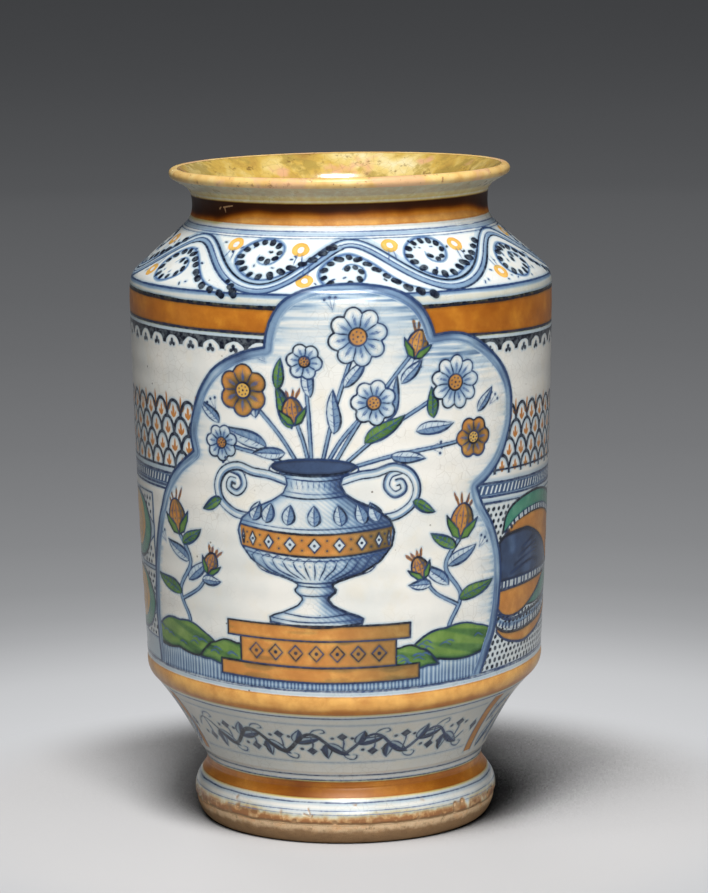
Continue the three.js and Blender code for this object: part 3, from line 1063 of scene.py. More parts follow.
def bud(a, level, size, turn):
    """A flower in bud: an egg with a crown of points over leafy cups."""
    c, s = math.cos(turn * DEG), math.sin(turn * DEG)

    def at(u, v):
        return near(a, level, size * (u * c + v * s), size * (v * c - u * s))

    def egg(angles):
        return [at(0.80 * math.cos(k) * (1 - 0.16 * math.sin(k)), math.sin(k)) for k in angles]

    for u in (-0.55, -0.2, 0.2, 0.55):
        tip = [at(u * 0.6, 0.75), at(u, 1.15), at(u * 1.5, 1.62)]
        stroke(tip, 1.3, "orange", ends=(1, 0.2))
        stroke(tip, 0.45, "ink", 0.9)
    shape = np.array(egg(np.linspace(0, 2 * math.pi, 28, endpoint=False)))
    fill(shape, "orange", wipe=True)
    right = egg(np.linspace(-math.pi / 2, math.pi / 2, 14)) + [at(0.25, 0.5), at(0.3, -0.3)]
    fill(np.array(right), shade=0.42)
    outline(shape, 0.85, 1.0)
    for u in (-0.36, 0.0, 0.36):
        stroke([at(u * 0.5, 0.82), at(u * 1.2, 0.1), at(u * 0.7, -0.75)], 0.42, "ink", 0.75)
    for v in (-0.2, 0.25):
        for u in (-0.52, -0.17, 0.2, 0.52):
            dot(*at(u, v), 0.3, 0.85)
    for side in (-1, 1):
        leafy = ((0, -1.15), (0.55, -1.0), (0.98, -0.35), (1.12, 0.2), (0.62, -0.2), (0.2, -0.55))
        cup = np.array([at(side * u, v) for u, v in leafy])
        fill(cup, "green", 0.15, wipe=True)
        outline(cup, 0.7, 0.95)


def ribbon(line, width):
    """The two edges of a ribbon along a line, and the outline that they make."""
    left, right = beside(line, width / 2), beside(line, -width / 2)
    return left, right, np.vstack([left, right[::-1]])


def stem(points, width):
    """A plant's stem, in blue wash between two lines."""
    left, right, shape = ribbon(spline(points), width)
    fill(shape, shade=0.45, wipe=True)
    stroke(left, 0.45, "ink", 0.85, (1, 1), straight=True, wobble=0.03)
    stroke(right, 0.62, "ink", 0.95, (1, 1), straight=True, wobble=0.03)


def tube(points, width):
    """A handle's rounded bar, in shade along its right."""
    line = spline(points, 0.5)
    left, right, shape = ribbon(line, width)
    fill(shape, shade=0.12, wipe=True)
    stroke(beside(line, -width * 0.22), width * 0.34, "wash", 0.5, (0.6, 0.6), straight=True)
    stroke(left, 0.6, "ink", 0.95, (1, 1), straight=True, wobble=0.03)
    stroke(right, 0.9, "ink", 0.95, (1, 1), straight=True, wobble=0.03)


# The vase's profile from its foot, as height and half width, its two handles' lines, and its
# painted rings: height, drop in the middle, width and darkness
VASE = (
    (0, 19.0), (2.6, 19.5), (4.6, 13.5), (7.5, 7.4), (10, 5.4), (11.6, 5.6), (12.8, 8.0), (14.6, 8.4),
    (16.2, 6.4), (18, 9.5), (21, 18.5), (26, 26.5), (32, 31.2), (38, 32.4), (43, 30.6), (47.5, 25),
    (51, 17.2), (54, 12.6), (58, 10.6), (61, 11.4), (63.6, 14.6), (65.4, 17.4),
)
CURL = ((35.6, 63.2), (30.6, 61.4), (29.2, 56.8), (32.4, 53.4), (36, 55.2), (35.2, 58.4), (33, 58.2))
HANDLE = (
    (27, 43.5), (34, 45), (40, 49.6), (41.6, 56), (38.6, 62), (32, 64.6), (25, 62.6), (18, 61.6), (11, 59.4),
)
RINGS = (
    (40.5, 3.2, 0.9, 1.0), (42.3, 3.0, 0.5, 0.8), (31.5, 3.6, 0.9, 1.0), (29.8, 3.6, 0.5, 0.8),
    (18.2, 1.4, 0.7, 0.95), (16.2, 1.0, 0.6, 0.9), (12.4, 0.9, 0.6, 0.9), (4.4, 1.6, 0.6, 0.9),
    (2.4, 2.0, 0.6, 0.8), (53.5, 1.5, 0.7, 0.95), (55.2, 1.3, 0.45, 0.7), (60.6, 1.2, 0.6, 0.9),
)


def vase(a, foot):
    """A footed vase with a ribbed bowl, a painted belt, two curled handles and an open mouth."""
    heights = np.linspace(0, 65.4, 60)
    half = np.interp(heights, *zip(*VASE))

    def at(u, v):
        return near(a, foot, u, v)

    def arc(v, drop):
        w = np.interp(v, heights, half)
        return [at(w * t, v - drop * (1 - t * t)) for t in np.linspace(-1, 1, 13)]

    for side in (-1, 1):
        tube([at(side * u, v) for u, v in CURL], 2.5)
        tube([at(side * u, v) for u, v in HANDLE], 3.2)
        leaf(*at(side * 40, 50), 11, 4.4, side * 105, side * 0.2, "green", 0.3, 2)
    left = [at(-w, v) for w, v in zip(half, heights)]
    right = [at(w, v) for w, v in zip(half, heights)]
    body = np.array(left + right[::-1])
    fill(body, wipe=True)
    for window, value in field(body):
        x, v = apart(window, a, foot)
        across = x / np.maximum(np.interp(v, heights, half), 1)
        hatch = 0.5 + 0.5 * np.sin((x * 0.8 + v) * 3.2)
        soft = 0.75 * smooth(0.1, 1.0, across) + 0.4 * smooth(-0.55, -1.0, across)
        soft = soft + 0.3 * hatch * smooth(-0.5, 0.6, across)
        soft = soft + 0.06 + 0.12 * medium[window]
        raise_to(wash, soft * smooth(-0.2, 0.3, value), window)
    belt = np.array(arc(40.5, 3.2) + arc(31.5, 3.6)[::-1])
    fill(belt, "orange", wipe=True)
    for window, value in field(belt):
        x, _ = apart(window, a, foot)
        raise_to(wash, 0.55 * smooth(4, 32, x) * smooth(-0.2, 0.3, value), window)

    def on_belt(k):
        u = 31 * math.sin(k * 0.33)
        return u, 36 - 3.4 * (1 - (u / 32) ** 2)

    for k in range(-4, 5):
        u, v = on_belt(k)
        diamond = lozenge(a, foot, 2.5 * math.cos(k * 0.33), 2.9, u, v)
        fill(diamond, wipe=True)
        outline(diamond, 0.6, 1.0)
        dot(*at(u, v), 0.62, 1.0)
        if k < 4:
            u, v = on_belt(k + 0.5)
            for up in (-2.1, 2.1):
                dot(*at(u, v + up), 0.42, 0.95)
    for v, drop, wide, dark in RINGS:
        stroke(arc(v, drop), wide, "ink", dark, (0.9, 0.9))
    for k in range(-6, 7):
        lean = k / 6.5
        top = 28.6 - 3.4 * (1 - lean * lean)
        rib = [at(lean * 29, top), at(lean * 24, 22.6 - 0.6 * abs(lean)), at(lean * 11.5, 18.4)]
        stroke(rib, 0.65, "ink", 0.9)
        if k < 6:
            mid = (k + 0.5) / 6.5
            stroke([at(mid * 28, 27.4 - 3.4 * (1 - mid * mid)), at(mid * 24, 23.6)], 0.9, "wash", 0.6)
            gadroon = (lean, top), (mid, top + 1.6), (lean + 1 / 6.5, top + 0.2)
            stroke([at(u * 28.6, v) for u, v in gadroon], 0.5, "ink", 0.8)
    for k in range(-3, 4):
        u = 27 * math.sin(k * 0.42)
        leaf(*at(u, 43.2 - 2.6 * (1 - (u / 30) ** 2)), 8.6, 5.2, -u * 0.9, 0.0, None, 0.55, 3)
    for k in range(-4, 5):
        stroke([at(k * 2.3, 59.4), at(k * 2.15, 56.2)], 0.42, "ink", 0.65)
    mouth = oval(*at(0, 65.2), 17.5, 3.3)
    fill(mouth, shade=1.25, wipe=True)
    outline(mouth, 0.85, 1.0)
    lip = ((-17.6, 65), (-16.6, 62.8), (0, 61.2), (16.6, 62.8), (17.6, 65))
    stroke([at(u, v) for u, v in lip], 0.7, "ink", 0.95, (1, 1))
    stroke(left, 0.75, "ink", 0.95, (1, 1), straight=True, wobble=0.05)
    stroke(right, 1.0, "ink", 1.0, (1, 1), straight=True, wobble=0.05)
    stroke([at(-19, 0.2), at(0, -1.9), at(19, 0.2)], 0.9, "ink", 1.0, (1, 1))


PICTURE_AXIS = -7.5
VASE_FOOT = 99.2


def block(low, high, half, shade=0.3):
    """One course of the plinth, with a line near its edge and strokes of shade."""
    left, right = PICTURE_AXIS - half / 1.5, PICTURE_AXIS + half / 1.5
    shape = np.array([
        (left, low), (PICTURE_AXIS, low - 0.5), (right, low), (right, high), (PICTURE_AXIS, high - 0.5),
        (left, high),
    ])
    fill(shape, "orange", wipe=True)
    for at, value in field(shape):
        x = (ANGLES[at[1]][None, :] - PICTURE_AXIS) * 1.5 / half
        soft = shade * smooth(0.0, 1.0, x)
        soft = soft + 0.22 * smooth(0.35, 0.9, medium[at] + 0.4 * np.sin(UP[at[0]] * 1.6))
        raise_to(wash, soft * smooth(-0.2, 0.4, value), at)
    outline(shape, 0.85, 1.0)


def mound(a, foot, half, top, seed):
    """A turf mound with a bumpy top edge, brushed light and dark."""
    def at(right, up):
        return near(a, 80, right, up)

    t = np.linspace(-1, 1, 30)
    crest = foot + (top - foot) * (1 - np.abs(t) ** 2.6) + np.abs(np.sin(5.1 * t + seed)) * (1 - t * t)
    low = foot - 1.6 * np.abs(np.sin(3.4 * t + seed)) * (1 - t * t)
    upper = [at(half * u, v - 80) for u, v in zip(t, crest)]
    under = [at(half * u, v - 80) for u, v in zip(t, low)]
    shape = np.array(upper + under[::-1])
    fill(shape, "green", wipe=True)
    for window, value in field(shape):
        level, angle = UP[window[0]], ANGLES[window[1]][None, :]
        brushed = smooth(0.0, 0.7, coarse[window] * 0.7 + 0.6 * np.sin(level * 0.9 + angle * 0.35 + seed))
        soft = 0.42 * brushed + 0.5 * smooth(3.0, 0.3, value) * (level < foot + 6)
        raise_to(wash, soft * smooth(-0.2, 0.4, value), window)
    outline(shape, 0.9, 1.0)
    for _ in range(9):
        u = random.uniform(-0.75, 0.75)
        v = foot + (top - foot) * random.uniform(0.15, 0.6)
        tuft = [at(half * u, v - 80), at(half * u + 2.2, v - 79), at(half * u + 5, v - 80.4)]
        stroke(tuft, 0.6, "ink", 0.6)


def spray(a, level, size, turn):
    """A small spray of three dots on fine stalks."""
    for k in (-1, 0, 1):
        lean = (turn + k * 26) * DEG
        tip = near(a, level, size * math.sin(lean), size * math.cos(lean))
        stroke([(a, level), tip], 0.36, "ink", 0.6)
        dot(*tip, 0.62, 0.9)


# The bouquet. A leaf has its place, length, width, turn, bend and colour, a bloom its place, size,
# petals, turn, the colour of its heart and that of its petals, and a spray its place and turn.
LEAVES = (
    (-20, 172, 21, 6.5, -62, -0.12, None), (-13, 180, 19, 6, -30, 0.16, "green"),
    (-2, 178, 18, 5.6, 8, -0.15, None), (6, 174, 20, 6.2, 48, 0.15, "green"),
    (12, 183, 19, 6, 20, -0.12, None), (-23, 184, 15, 5, -8, 0.15, None),
    (20, 178, 17, 5.4, 74, 0.14, None), (25, 183, 13, 5, -12, 0.12, "green"),
    (-8, 193, 17, 5, -16, 0.12, None), (1, 197, 14, 5, 28, 0.14, None),
    (-17, 196, 13, 4.6, 14, -0.1, "green"), (16, 198, 13, 4.6, 36, 0.12, None),
    (-34, 181, 13, 4.6, -40, -0.14, None), (39, 184, 12, 4.4, 32, 0.12, None),
    (-15, 170, 14, 4.8, -100, 0.12, None), (13, 168.5, 15, 5, 104, -0.12, None),
)
BLOOMS = (
    (4.5, 217.5, 12.2, 8, 0.2, "orange", None), (-26.5, 195.0, 10.8, 6, 0.5, "yellow", "orange"),
    (31.5, 197.0, 11.2, 9, 0.1, "orange", None), (-33.5, 172.8, 7.6, 7, 0.3, "orange", None),
    (37.5, 173.5, 8.6, 6, 0.0, "yellow", "orange"), (8.5, 190.5, 9.4, 7, 0.4, "orange", None),
    (-9.5, 207.5, 7.4, 6, 0.9, "orange", None),
)
SPRAYS = (
    (-35, 186, -30), (-20, 207, -40), (18, 204, 60), (43, 186, 40), (-30, 163, -70), (44, 202, 40),
    (-2, 228.5, -12), (24, 171, 95),
)


def paint_ground():
    """The medallion's washes: a streaked sky, dark under the top and at the edges, and grass."""
    a = ANGLES[None, :]
    streak = noise(a * 1.5 / 15, 0 * a, UP, 1.0, 41) + 0.5 * noise(a * 1.5 / 6, 0 * a, UP / 0.55, 1.0, 42)
    top = smooth(198, 236, UP) * 0.42 + 0.25 * smooth(12, 3, medallion) * smooth(120, 200, UP)
    right = 0.75 * smooth(203.5, 208.5, UP) * smooth(214.5, 210, UP) * smooth(10, 24, a) * smooth(50, 42, a)
    under = 0.34 * smooth(190, 205, UP) * smooth(211, 205, UP) * smooth(4, 28, a)
    sides = 0.22 * smooth(17, 6, medallion) * smooth(90, 100, UP) * smooth(150, 130, UP) * smooth(20, 34, a)
    sides = 0.30 * smooth(7.5, 4.2, medallion) + sides
    sky = np.maximum(np.maximum(top, right), np.maximum(under, sides)) * (0.62 + 0.6 * streak)
    raise_to(wash, np.clip(sky, 0, 1) * (medallion > 0))
    lower = 0.55 * smooth(84, 74, UP) + 0.25 * smooth(92, 84, UP)
    grass = np.sin(a * 1.5 * 3.6 + 1.2 * np.sin(a * 0.9)) * 0.5 + 0.5
    raise_to(wash, np.clip(lower * (0.45 + 0.75 * grass), 0, 1) * (medallion > 0))


def side_plant(side, a):
    """The tall plant at one side of the vase."""
    def right(distance):
        return a + side * distance

    stem([(right(-1.0), 86), (a, 96), (right(3.4), 108), (right(-1.6), 121), (right(3.2), 133)], 1.7)
    stem([(right(2.4), 104), (right(-4.5), 110), (right(-8.2), 117)], 1.3)
    for out, level, length, width, turn, bend, colour, shade in (
        (3, 106, 19, 6.4, 58, 0.2, "green", 0.3), (-0.6, 113, 15, 5.2, -42, -0.15, None, 0.55),
        (-1, 121, 16, 5.6, 52, 0.18, None, 0.55), (1.6, 128, 14, 5.0, -50, -0.15, "green", 0.3),
        (-6, 114, 10, 4.2, -80, -0.15, None, 0.5),
    ):
        leaf(right(out), level, length, width, side * turn, side * bend, colour, shade)
    bud(right(3.6), 139.5, 7.0, side * 8)
    bud(right(-9.4), 121.5, 4.6, -side * 22)
    spray(right(9.5), 127, 5, side * 40)


def paint_picture():
    """The medallion's place: a vase of flowers on a plinth between green mounds."""
    paint_ground()
    mouth = level_up(99.5, 65.5)
    for a, level, *_ in BLOOMS + ((20.5, 213.0), (-12.5, 186.0)):
        out = a - PICTURE_AXIS
        start = PICTURE_AXIS + out * 0.16
        bow = (start + a) / 2 + out * 0.10
        low = (bow - out * 0.22, mouth + (level - mouth) * 0.4)
        high = (bow + out * 0.08, mouth + (level - mouth) * 0.74)
        stem([(start, mouth - 2), low, high, (a, level)], 1.35)
    for one in LEAVES:
        leaf(*one, 0.55 if one[-1] is None else 0.3)
    bud(20.5, 214.0, 5.6, 14)
    bud(-12.8, 187.5, 5.4, -8)
    for bloom in BLOOMS:
        flower(*bloom)
    for a, level, turn in SPRAYS:
        spray(a, level, 5.2, turn)
    side_plant(-1, -48.0)
    side_plant(1, 30.5)
    mound(-52, 81, 26, 93.5, 0.3)
    mound(33, 81.5, 27, 94.5, 1.1)
    mound(-33, 79.5, 17, 88.5, 2.2)
    mound(17, 79.5, 15, 88.0, 0.8)
    block(74.6, 81, 43, 0.35)
    block(81, 92.2, 33)
    block(92.2, 98.6, 39, 0.35)
    for k in range(-3, 4):
        outline(lozenge(PICTURE_AXIS, 86.5, 3.0, 3.3, k * 8.6), 0.6, 0.95)
        dot(*near(PICTURE_AXIS, 86.5, k * 8.6, 0), 0.75, 1.0)
    vase(PICTURE_AXIS, VASE_FOOT)


def paint_frame_band():
    """The medallion's blue border, between a dark line outside and a finer one inside."""
    inwards = frame_depth + 0.15 * medium
    round_it = np.arctan2(ARC[:, None] - arc_at(140), ROUND + 12.0)
    streaks = noise(frame_depth + 0.8 * coarse, 9 * round_it, 0 * frame_depth, 0.85, 41)
    grain = 0.92 + 0.34 * streaks + 0.16 * coarse
    within = np.minimum(np.minimum(inwards, BORDER - inwards), above_foot)
    clear(EVERYWHERE, within.astype(np.float32))
    edges = smooth(-0.2, 0.3, inwards) * smooth(BORDER + 0.9, BORDER - 1.3, inwards)
    raise_to(wash, 0.74 * grain * (edges * smooth(-0.2, 0.3, above_foot)))
    outer = 0.6 + 0.12 * coarse - np.abs(inwards - 0.1)
    put("ink", EVERYWHERE, np.minimum(outer, above_foot).astype(np.float32), 0.88)
    inner = 0.12 + 0.32 * coarse + 0.1 * medium - np.abs(inwards - BORDER + 0.5)
    put("ink", EVERYWHERE, np.minimum(inner, above_foot).astype(np.float32), 0.5)


paint_shoulder()
paint_border()
paint_scales()
paint_hatched_band()
paint_panels()
paint_lower()
paint_neck()
outside = {name: layer.copy() for name, layer in canvas.items()}
outside_tone, outside_wash = tone.copy(), wash.copy()
for layer in canvas.values():
    layer[:] = FLAT
tone[:] = 1
wash[:] = 0
paint_picture()
for name, layer in canvas.items():
    layer[:] = np.maximum(np.minimum(layer, medallion), np.minimum(outside[name], -medallion))
tone[:] = np.where(medallion > 0, tone, outside_tone)
wash[:] = np.where(medallion > 0, wash, outside_wash)
paint_frame_band()
warm *= medallion < 0
browning_and_painted_light *= medallion < 0
paint_foot()


def srgb(red, green, blue):
    """A colour as the photo's numbers give it, turned to the linear values that a node takes."""
    values = [v / 255 for v in (red, green, blue)]
    return tuple(v / 12.92 if v < 0.04045 else ((v + 0.055) / 1.055) ** 2.4 for v in values) + (1.0,)


class Surface:
    """A material being built, with short ways to add its nodes."""

    def __init__(self, name):
        self.material = bpy.data.materials.new(name)
        self.material.use_nodes = True
        self.tree = self.material.node_tree
        self.tree.nodes.clear()
        self.spot = self.add("ShaderNodeTexCoord").outputs["Object"]

    def add(self, kind, settings=None, **inputs):
        made = self.tree.nodes.new(kind)
        for key, value in (settings or {}).items():
            setattr(made, key, value)
        for key, value in inputs.items():
            numbered = key[0] == "i" and key[1:].isdigit()
            self.join(value, made.inputs[int(key[1:]) if numbered else key.replace("_", " ")])
        return made

    def join(self, value, socket):
        if isinstance(value, bpy.types.NodeSocket):
            self.tree.links.new(value, socket)
        else:
            socket.default_value = value

    def math(self, operation, a, b):
        return self.add("ShaderNodeMath", {"operation": operation}, i0=a, i1=b).outputs[0]

    def times(self, a, b):
        return self.math("MULTIPLY", a, b)

    def plus(self, a, b):
        return self.math("ADD", a, b)

    def minus(self, a, b):
        return self.math("SUBTRACT", a, b)

    def value(self, name):
        return self.add("ShaderNodeAttribute", {"attribute_name": name}).outputs["Fac"]

    def noise(self, size, detail=3.0, rough=0.5, vector=None):
        """Noise from 0 to 1 with features of about a size in mm."""
        settings = {"Vector": vector or self.spot, "Scale": 1000 / size, "Detail": detail, "Roughness": rough}
        return self.add("ShaderNodeTexNoise", **settings).outputs["Fac"]

    def stretched(self, across, up):
        """The position scaled so that one unit is a size in mm across the jar and another up it."""
        scale = (1000 / across, 1000 / across, 1000 / up)
        return self.add("ShaderNodeMapping", Vector=self.spot, Scale=scale).outputs[0]

    def ramp(self, factor, low, high, first=0.0, last=1.0):
        eased = {"interpolation_type": "SMOOTHSTEP"}
        return self.add("ShaderNodeMapRange", eased, i0=factor, i1=low, i2=high, i3=first, i4=last).outputs[0]

    def colours(self, factor, *stops):
        made = self.add("ShaderNodeValToRGB", Fac=factor)
        ramp = made.color_ramp
        while len(ramp.elements) < len(stops):
            ramp.elements.new(0.5)
        for element, (at, colour) in zip(ramp.elements, stops):
            element.position = at
            element.color = colour
        return made.outputs["Color"]

    def blend(self, factor, a, b, mode="MIX"):
        mixed = {"data_type": "RGBA", "blend_type": mode}
        return self.add("ShaderNodeMix", mixed, i0=factor, i6=a, i7=b).outputs[2]

    def over(self, colour, upper, *ramp):
        """A colour with another over it, where a factor lies in a ramp's upper part."""
        return self.blend(self.ramp(*ramp), colour, upper)

    def tinted(self, colour, tint):
        return self.blend(1.0, colour, tint, "MULTIPLY")

    def cells(self, size, feature="F1"):
        """The distance to the nearest of scattered points, or to the edge between two cells of them."""
        made = self.add("ShaderNodeTexVoronoi", {"feature": feature}, Vector=self.spot, Scale=1000 / size)
        return made.outputs["Distance"]

    def finish(self, colour, roughness, height, **settings):
        """Joins colour, roughness and a bump height in mm to the shader."""
        bump = self.add("ShaderNodeBump", Strength=1.0, Distance=MM, Height=height).outputs[0]
        shader = self.add("ShaderNodeBsdfPrincipled", Base_Color=colour, Roughness=roughness, Normal=bump)
        for key, value in settings.items():
            shader.inputs[key.replace("_", " ")].default_value = value
        self.add("ShaderNodeOutputMaterial", Surface=shader.outputs[0])
        return self.material


WHITE = (1, 1, 1, 1)


def glaze_ground(s):
    """The tin glaze's own white, with its unevenness, fine crackle, pinholes and specks."""
    ground = s.blend(s.ramp(s.noise(34, 4, 0.6), 0.35, 0.7), srgb(245, 243, 236), srgb(230, 232, 228))
    ground = s.blend(s.ramp(s.noise(11, 3), 0.5, 0.78, 0, 0.45), ground, srgb(236, 228, 208))
    crackle = s.ramp(s.cells(3.4, "DISTANCE_TO_EDGE"), 0.0, 0.035, 1, 0)
    crackle = s.times(crackle, s.ramp(s.noise(26, 2), 0.42, 0.62, 0.02, 0.26))
    ground = s.blend(crackle, ground, srgb(150, 138, 118))
    hole = s.times(s.ramp(s.cells(7.0), 0.05, 0.075, 1, 0), s.ramp(s.noise(16, 1), 0.5, 0.6))
    return s.blend(s.times(hole, 0.75), ground, srgb(92, 82, 70)), hole


def covered(s, layer, wobble, soft, amount=0.34):
    """How far a layer covers the ground, from 0 to 1, and the distance in from its wavering edge."""
    edge = s.plus(s.value(layer), s.times(s.minus(wobble, 0.5), amount))
    return s.ramp(edge, -soft, soft), edge


# What a colour is multiplied by, as the orange browns or is browned as painted shade, as worn glaze
# turns from cream to pink, and as the thin blue thickens, and the ink's own colours by its darkness
BROWNED = (
    (0.0, WHITE), (0.12, (0.99, 0.88, 0.52, 1)), (0.3, (0.85, 0.67, 0.25, 1)),
    (0.55, (0.42, 0.25, 0.05, 1)), (0.8, (0.12, 0.065, 0.018, 1)), (1.0, (0.03, 0.018, 0.006, 1)),
)
CREAMED = (
    (0.0, WHITE), (0.35, srgb(247, 232, 196)), (0.7, srgb(226, 178, 126)), (1.0, srgb(176, 122, 78)),
)
BLUED = (
    (0.0, WHITE), (0.18, (0.59, 0.73, 0.88, 1)), (0.38, (0.24, 0.38, 0.60, 1)),
    (0.62, (0.075, 0.13, 0.28, 1)), (0.95, (0.03, 0.042, 0.085, 1)),
)
INKED = (
    (0.27, srgb(104, 138, 182)), (0.56, srgb(62, 92, 144)), (0.82, srgb(38, 58, 98)),
    (0.9, srgb(30, 42, 70)), (0.96, srgb(20, 26, 42)),
)


def painted_material(name, shine, gloss, ragged):
    """Tin glaze with the canvas's pigments in it."""
    s = Surface(name)
    colour, hole = glaze_ground(s)
    warm_value = s.value("warm")
    patchy = s.times(warm_value, s.ramp(s.noise(3.0, 4, 0.65), 0.2, 0.6, 0.55, 1.25))
    colour = s.tinted(colour, s.colours(patchy, *CREAMED))
    wobble = s.noise(1.5, 2)
    brushed = s.noise(1.0, 3, 0.6, s.stretched(13, 0.85))
    patches = s.noise(8, 3, 0.6)
    flow = s.plus(s.times(brushed, 0.55), s.times(patches, 0.55))
    for layer, light, full, dark in (
        ("yellow", srgb(255, 216, 132), srgb(248, 190, 92), srgb(226, 152, 52)),
        ("orange", srgb(255, 196, 106), srgb(212, 142, 66), srgb(172, 102, 38)),
        ("teal", srgb(150, 192, 164), srgb(84, 160, 128), srgb(44, 108, 88)),
        ("green", srgb(158, 184, 100), srgb(112, 148, 66), srgb(58, 98, 40)),
    ):
        cover, edge = covered(s, layer, wobble, 0.2)
        pool = s.ramp(edge, 0.0, 0.9, 0.13, 0.0)
        # Below zero the browning layer shifts the orange paler: a painted highlight.
        painted_highlight = s.times(s.math("MINIMUM", s.value("browning_and_painted_light"), 0.0), 0.45)
        tint = s.colours(s.plus(s.plus(flow, pool), painted_highlight), (0.3, light), (0.53, full), (0.84, dark))
        cover = s.times(cover, s.ramp(brushed, 0.25, 0.5, 0.82, 1.0))
        if layer == "orange":
            grainy = s.times(cover, 0.16)
        colour = s.blend(cover, colour, tint)
    colour = s.tinted(colour, s.colours(s.value("browning_and_painted_light"), *BROWNED))
    dark = s.value("tone")
    cover, edge = covered(s, "ink", wobble, 0.17, 0.3)
    bleed = s.times(s.ramp(edge, -1.15, 0.0), s.ramp(dark, 0.2, 1.0, 0.05, 0.24))
    hairs = s.noise(1.0, 2, 0.5, s.stretched(24, 0.55))
    streaky = s.plus(s.times(brushed, 0.4), s.times(patches, 0.4))
    streaky = s.plus(streaky, s.times(hairs, 0.55))
    density = s.times(s.value("wash"), s.plus(0.32, streaky))
    density = s.plus(density, bleed)
    colour = s.tinted(colour, s.colours(s.times(density, 0.6), *BLUED))
    thin = s.ramp(s.noise(2.4, 3, 0.6), 0.28, 0.62, 0.8, 1.0)
    ink = s.colours(s.times(dark, 0.9), *INKED)
    strength = s.times(s.times(cover, thin), s.ramp(dark, 0.1, 0.85, 0.45, 1.0))
    colour = s.blend(strength, colour, ink)
    bare, _ = covered(s, "bare", s.noise(2.4, 3), ragged, 0.5)
    clay = s.blend(s.noise(4, 4, 0.7), srgb(206, 168, 124), srgb(150, 108, 72))
    colour = s.blend(bare, colour, clay)
    rough = s.plus(shine, s.times(s.noise(5, 3), 0.09))
    rough = s.plus(s.plus(rough, grainy), s.times(strength, 0.04))
    worn = s.math("MAXIMUM", bare, s.ramp(warm_value, 0.55, 1.0, 0, 0.5))
    rough = s.plus(rough, s.times(worn, 0.5))
    height = s.times(s.noise(4.5, 3), 0.028)
    height = s.plus(height, s.times(s.noise(1.2, 2), 0.005))
    height = s.minus(height, s.times(hole, 0.05))
    height = s.plus(height, s.times(cover, 0.008))
    height = s.minus(height, s.times(bare, 0.12))
    return s.finish(colour, rough, height, Specular_IOR_Level=gloss)


def lip_material():
    """Yellow-ochre glaze, thin and worn pinkish where hands have rubbed it."""
    s = Surface("worn_ochre_glaze")
    flow = s.noise(9, 4, 0.6)
    ochres = (0.3, srgb(248, 220, 152)), (0.52, srgb(240, 200, 124)), (0.75, srgb(218, 168, 96))
    colour = s.colours(flow, *ochres)
    colour = s.over(colour, srgb(230, 184, 142), s.noise(24, 4, 0.65), 0.5, 0.62, 0, 0.8)
    colour = s.over(colour, srgb(184, 130, 96), s.noise(6, 4, 0.7), 0.6, 0.72, 0, 0.7)
    worn = s.ramp(s.noise(2.6, 4, 0.7), 0.6, 0.68)
    colour = s.blend(s.times(worn, 0.7), colour, srgb(150, 98, 66))
    specks = s.ramp(s.cells(2.6), 0.07, 0.11, 1, 0)
    colour = s.blend(s.times(specks, 0.5), colour, srgb(120, 84, 50))
    rough = s.plus(0.2, s.times(s.math("MAXIMUM", worn, s.noise(6, 2)), 0.24))
    height = s.minus(s.times(s.noise(5, 2), 0.03), s.times(worn, 0.02))
    return s.finish(colour, rough, height)


def inner_material():
    """Lead glaze inside: mottled cream, yellow, ochre and greenish brown, glossy and crackled."""
    s = Surface("mottled_yellow_glaze")
    flow = s.noise(26, 4, 0.6)
    colour = s.colours(
        flow, (0.32, srgb(238, 226, 184)), (0.44, srgb(226, 202, 128)), (0.54, srgb(206, 172, 84)),
        (0.7, srgb(168, 130, 66)),
    )
    colour = s.over(colour, srgb(170, 146, 74), s.noise(15, 4, 0.65), 0.52, 0.62, 0, 0.8)
    colour = s.over(colour, srgb(222, 170, 132), s.noise(19, 3, 0.6), 0.56, 0.68, 0, 0.85)
    colour = s.over(colour, srgb(122, 92, 50), s.noise(8, 5, 0.75), 0.57, 0.68, 0, 0.85)
    crackle = s.ramp(s.cells(4.0, "DISTANCE_TO_EDGE"), 0.0, 0.045, 1, 0)
    colour = s.blend(s.times(crackle, 0.22), colour, srgb(110, 84, 50))
    pits = s.times(s.ramp(s.cells(6.0), 0.05, 0.08, 1, 0), s.ramp(s.noise(20, 2), 0.5, 0.6))
    colour = s.blend(s.times(pits, 0.6), colour, srgb(86, 64, 38))
    rough = s.plus(0.1, s.times(s.noise(7, 3), 0.14))
    height = s.minus(s.times(s.noise(6, 4), 0.06), s.times(pits, 0.06))
    return s.finish(colour, rough, height, Specular_IOR_Level=0.85)


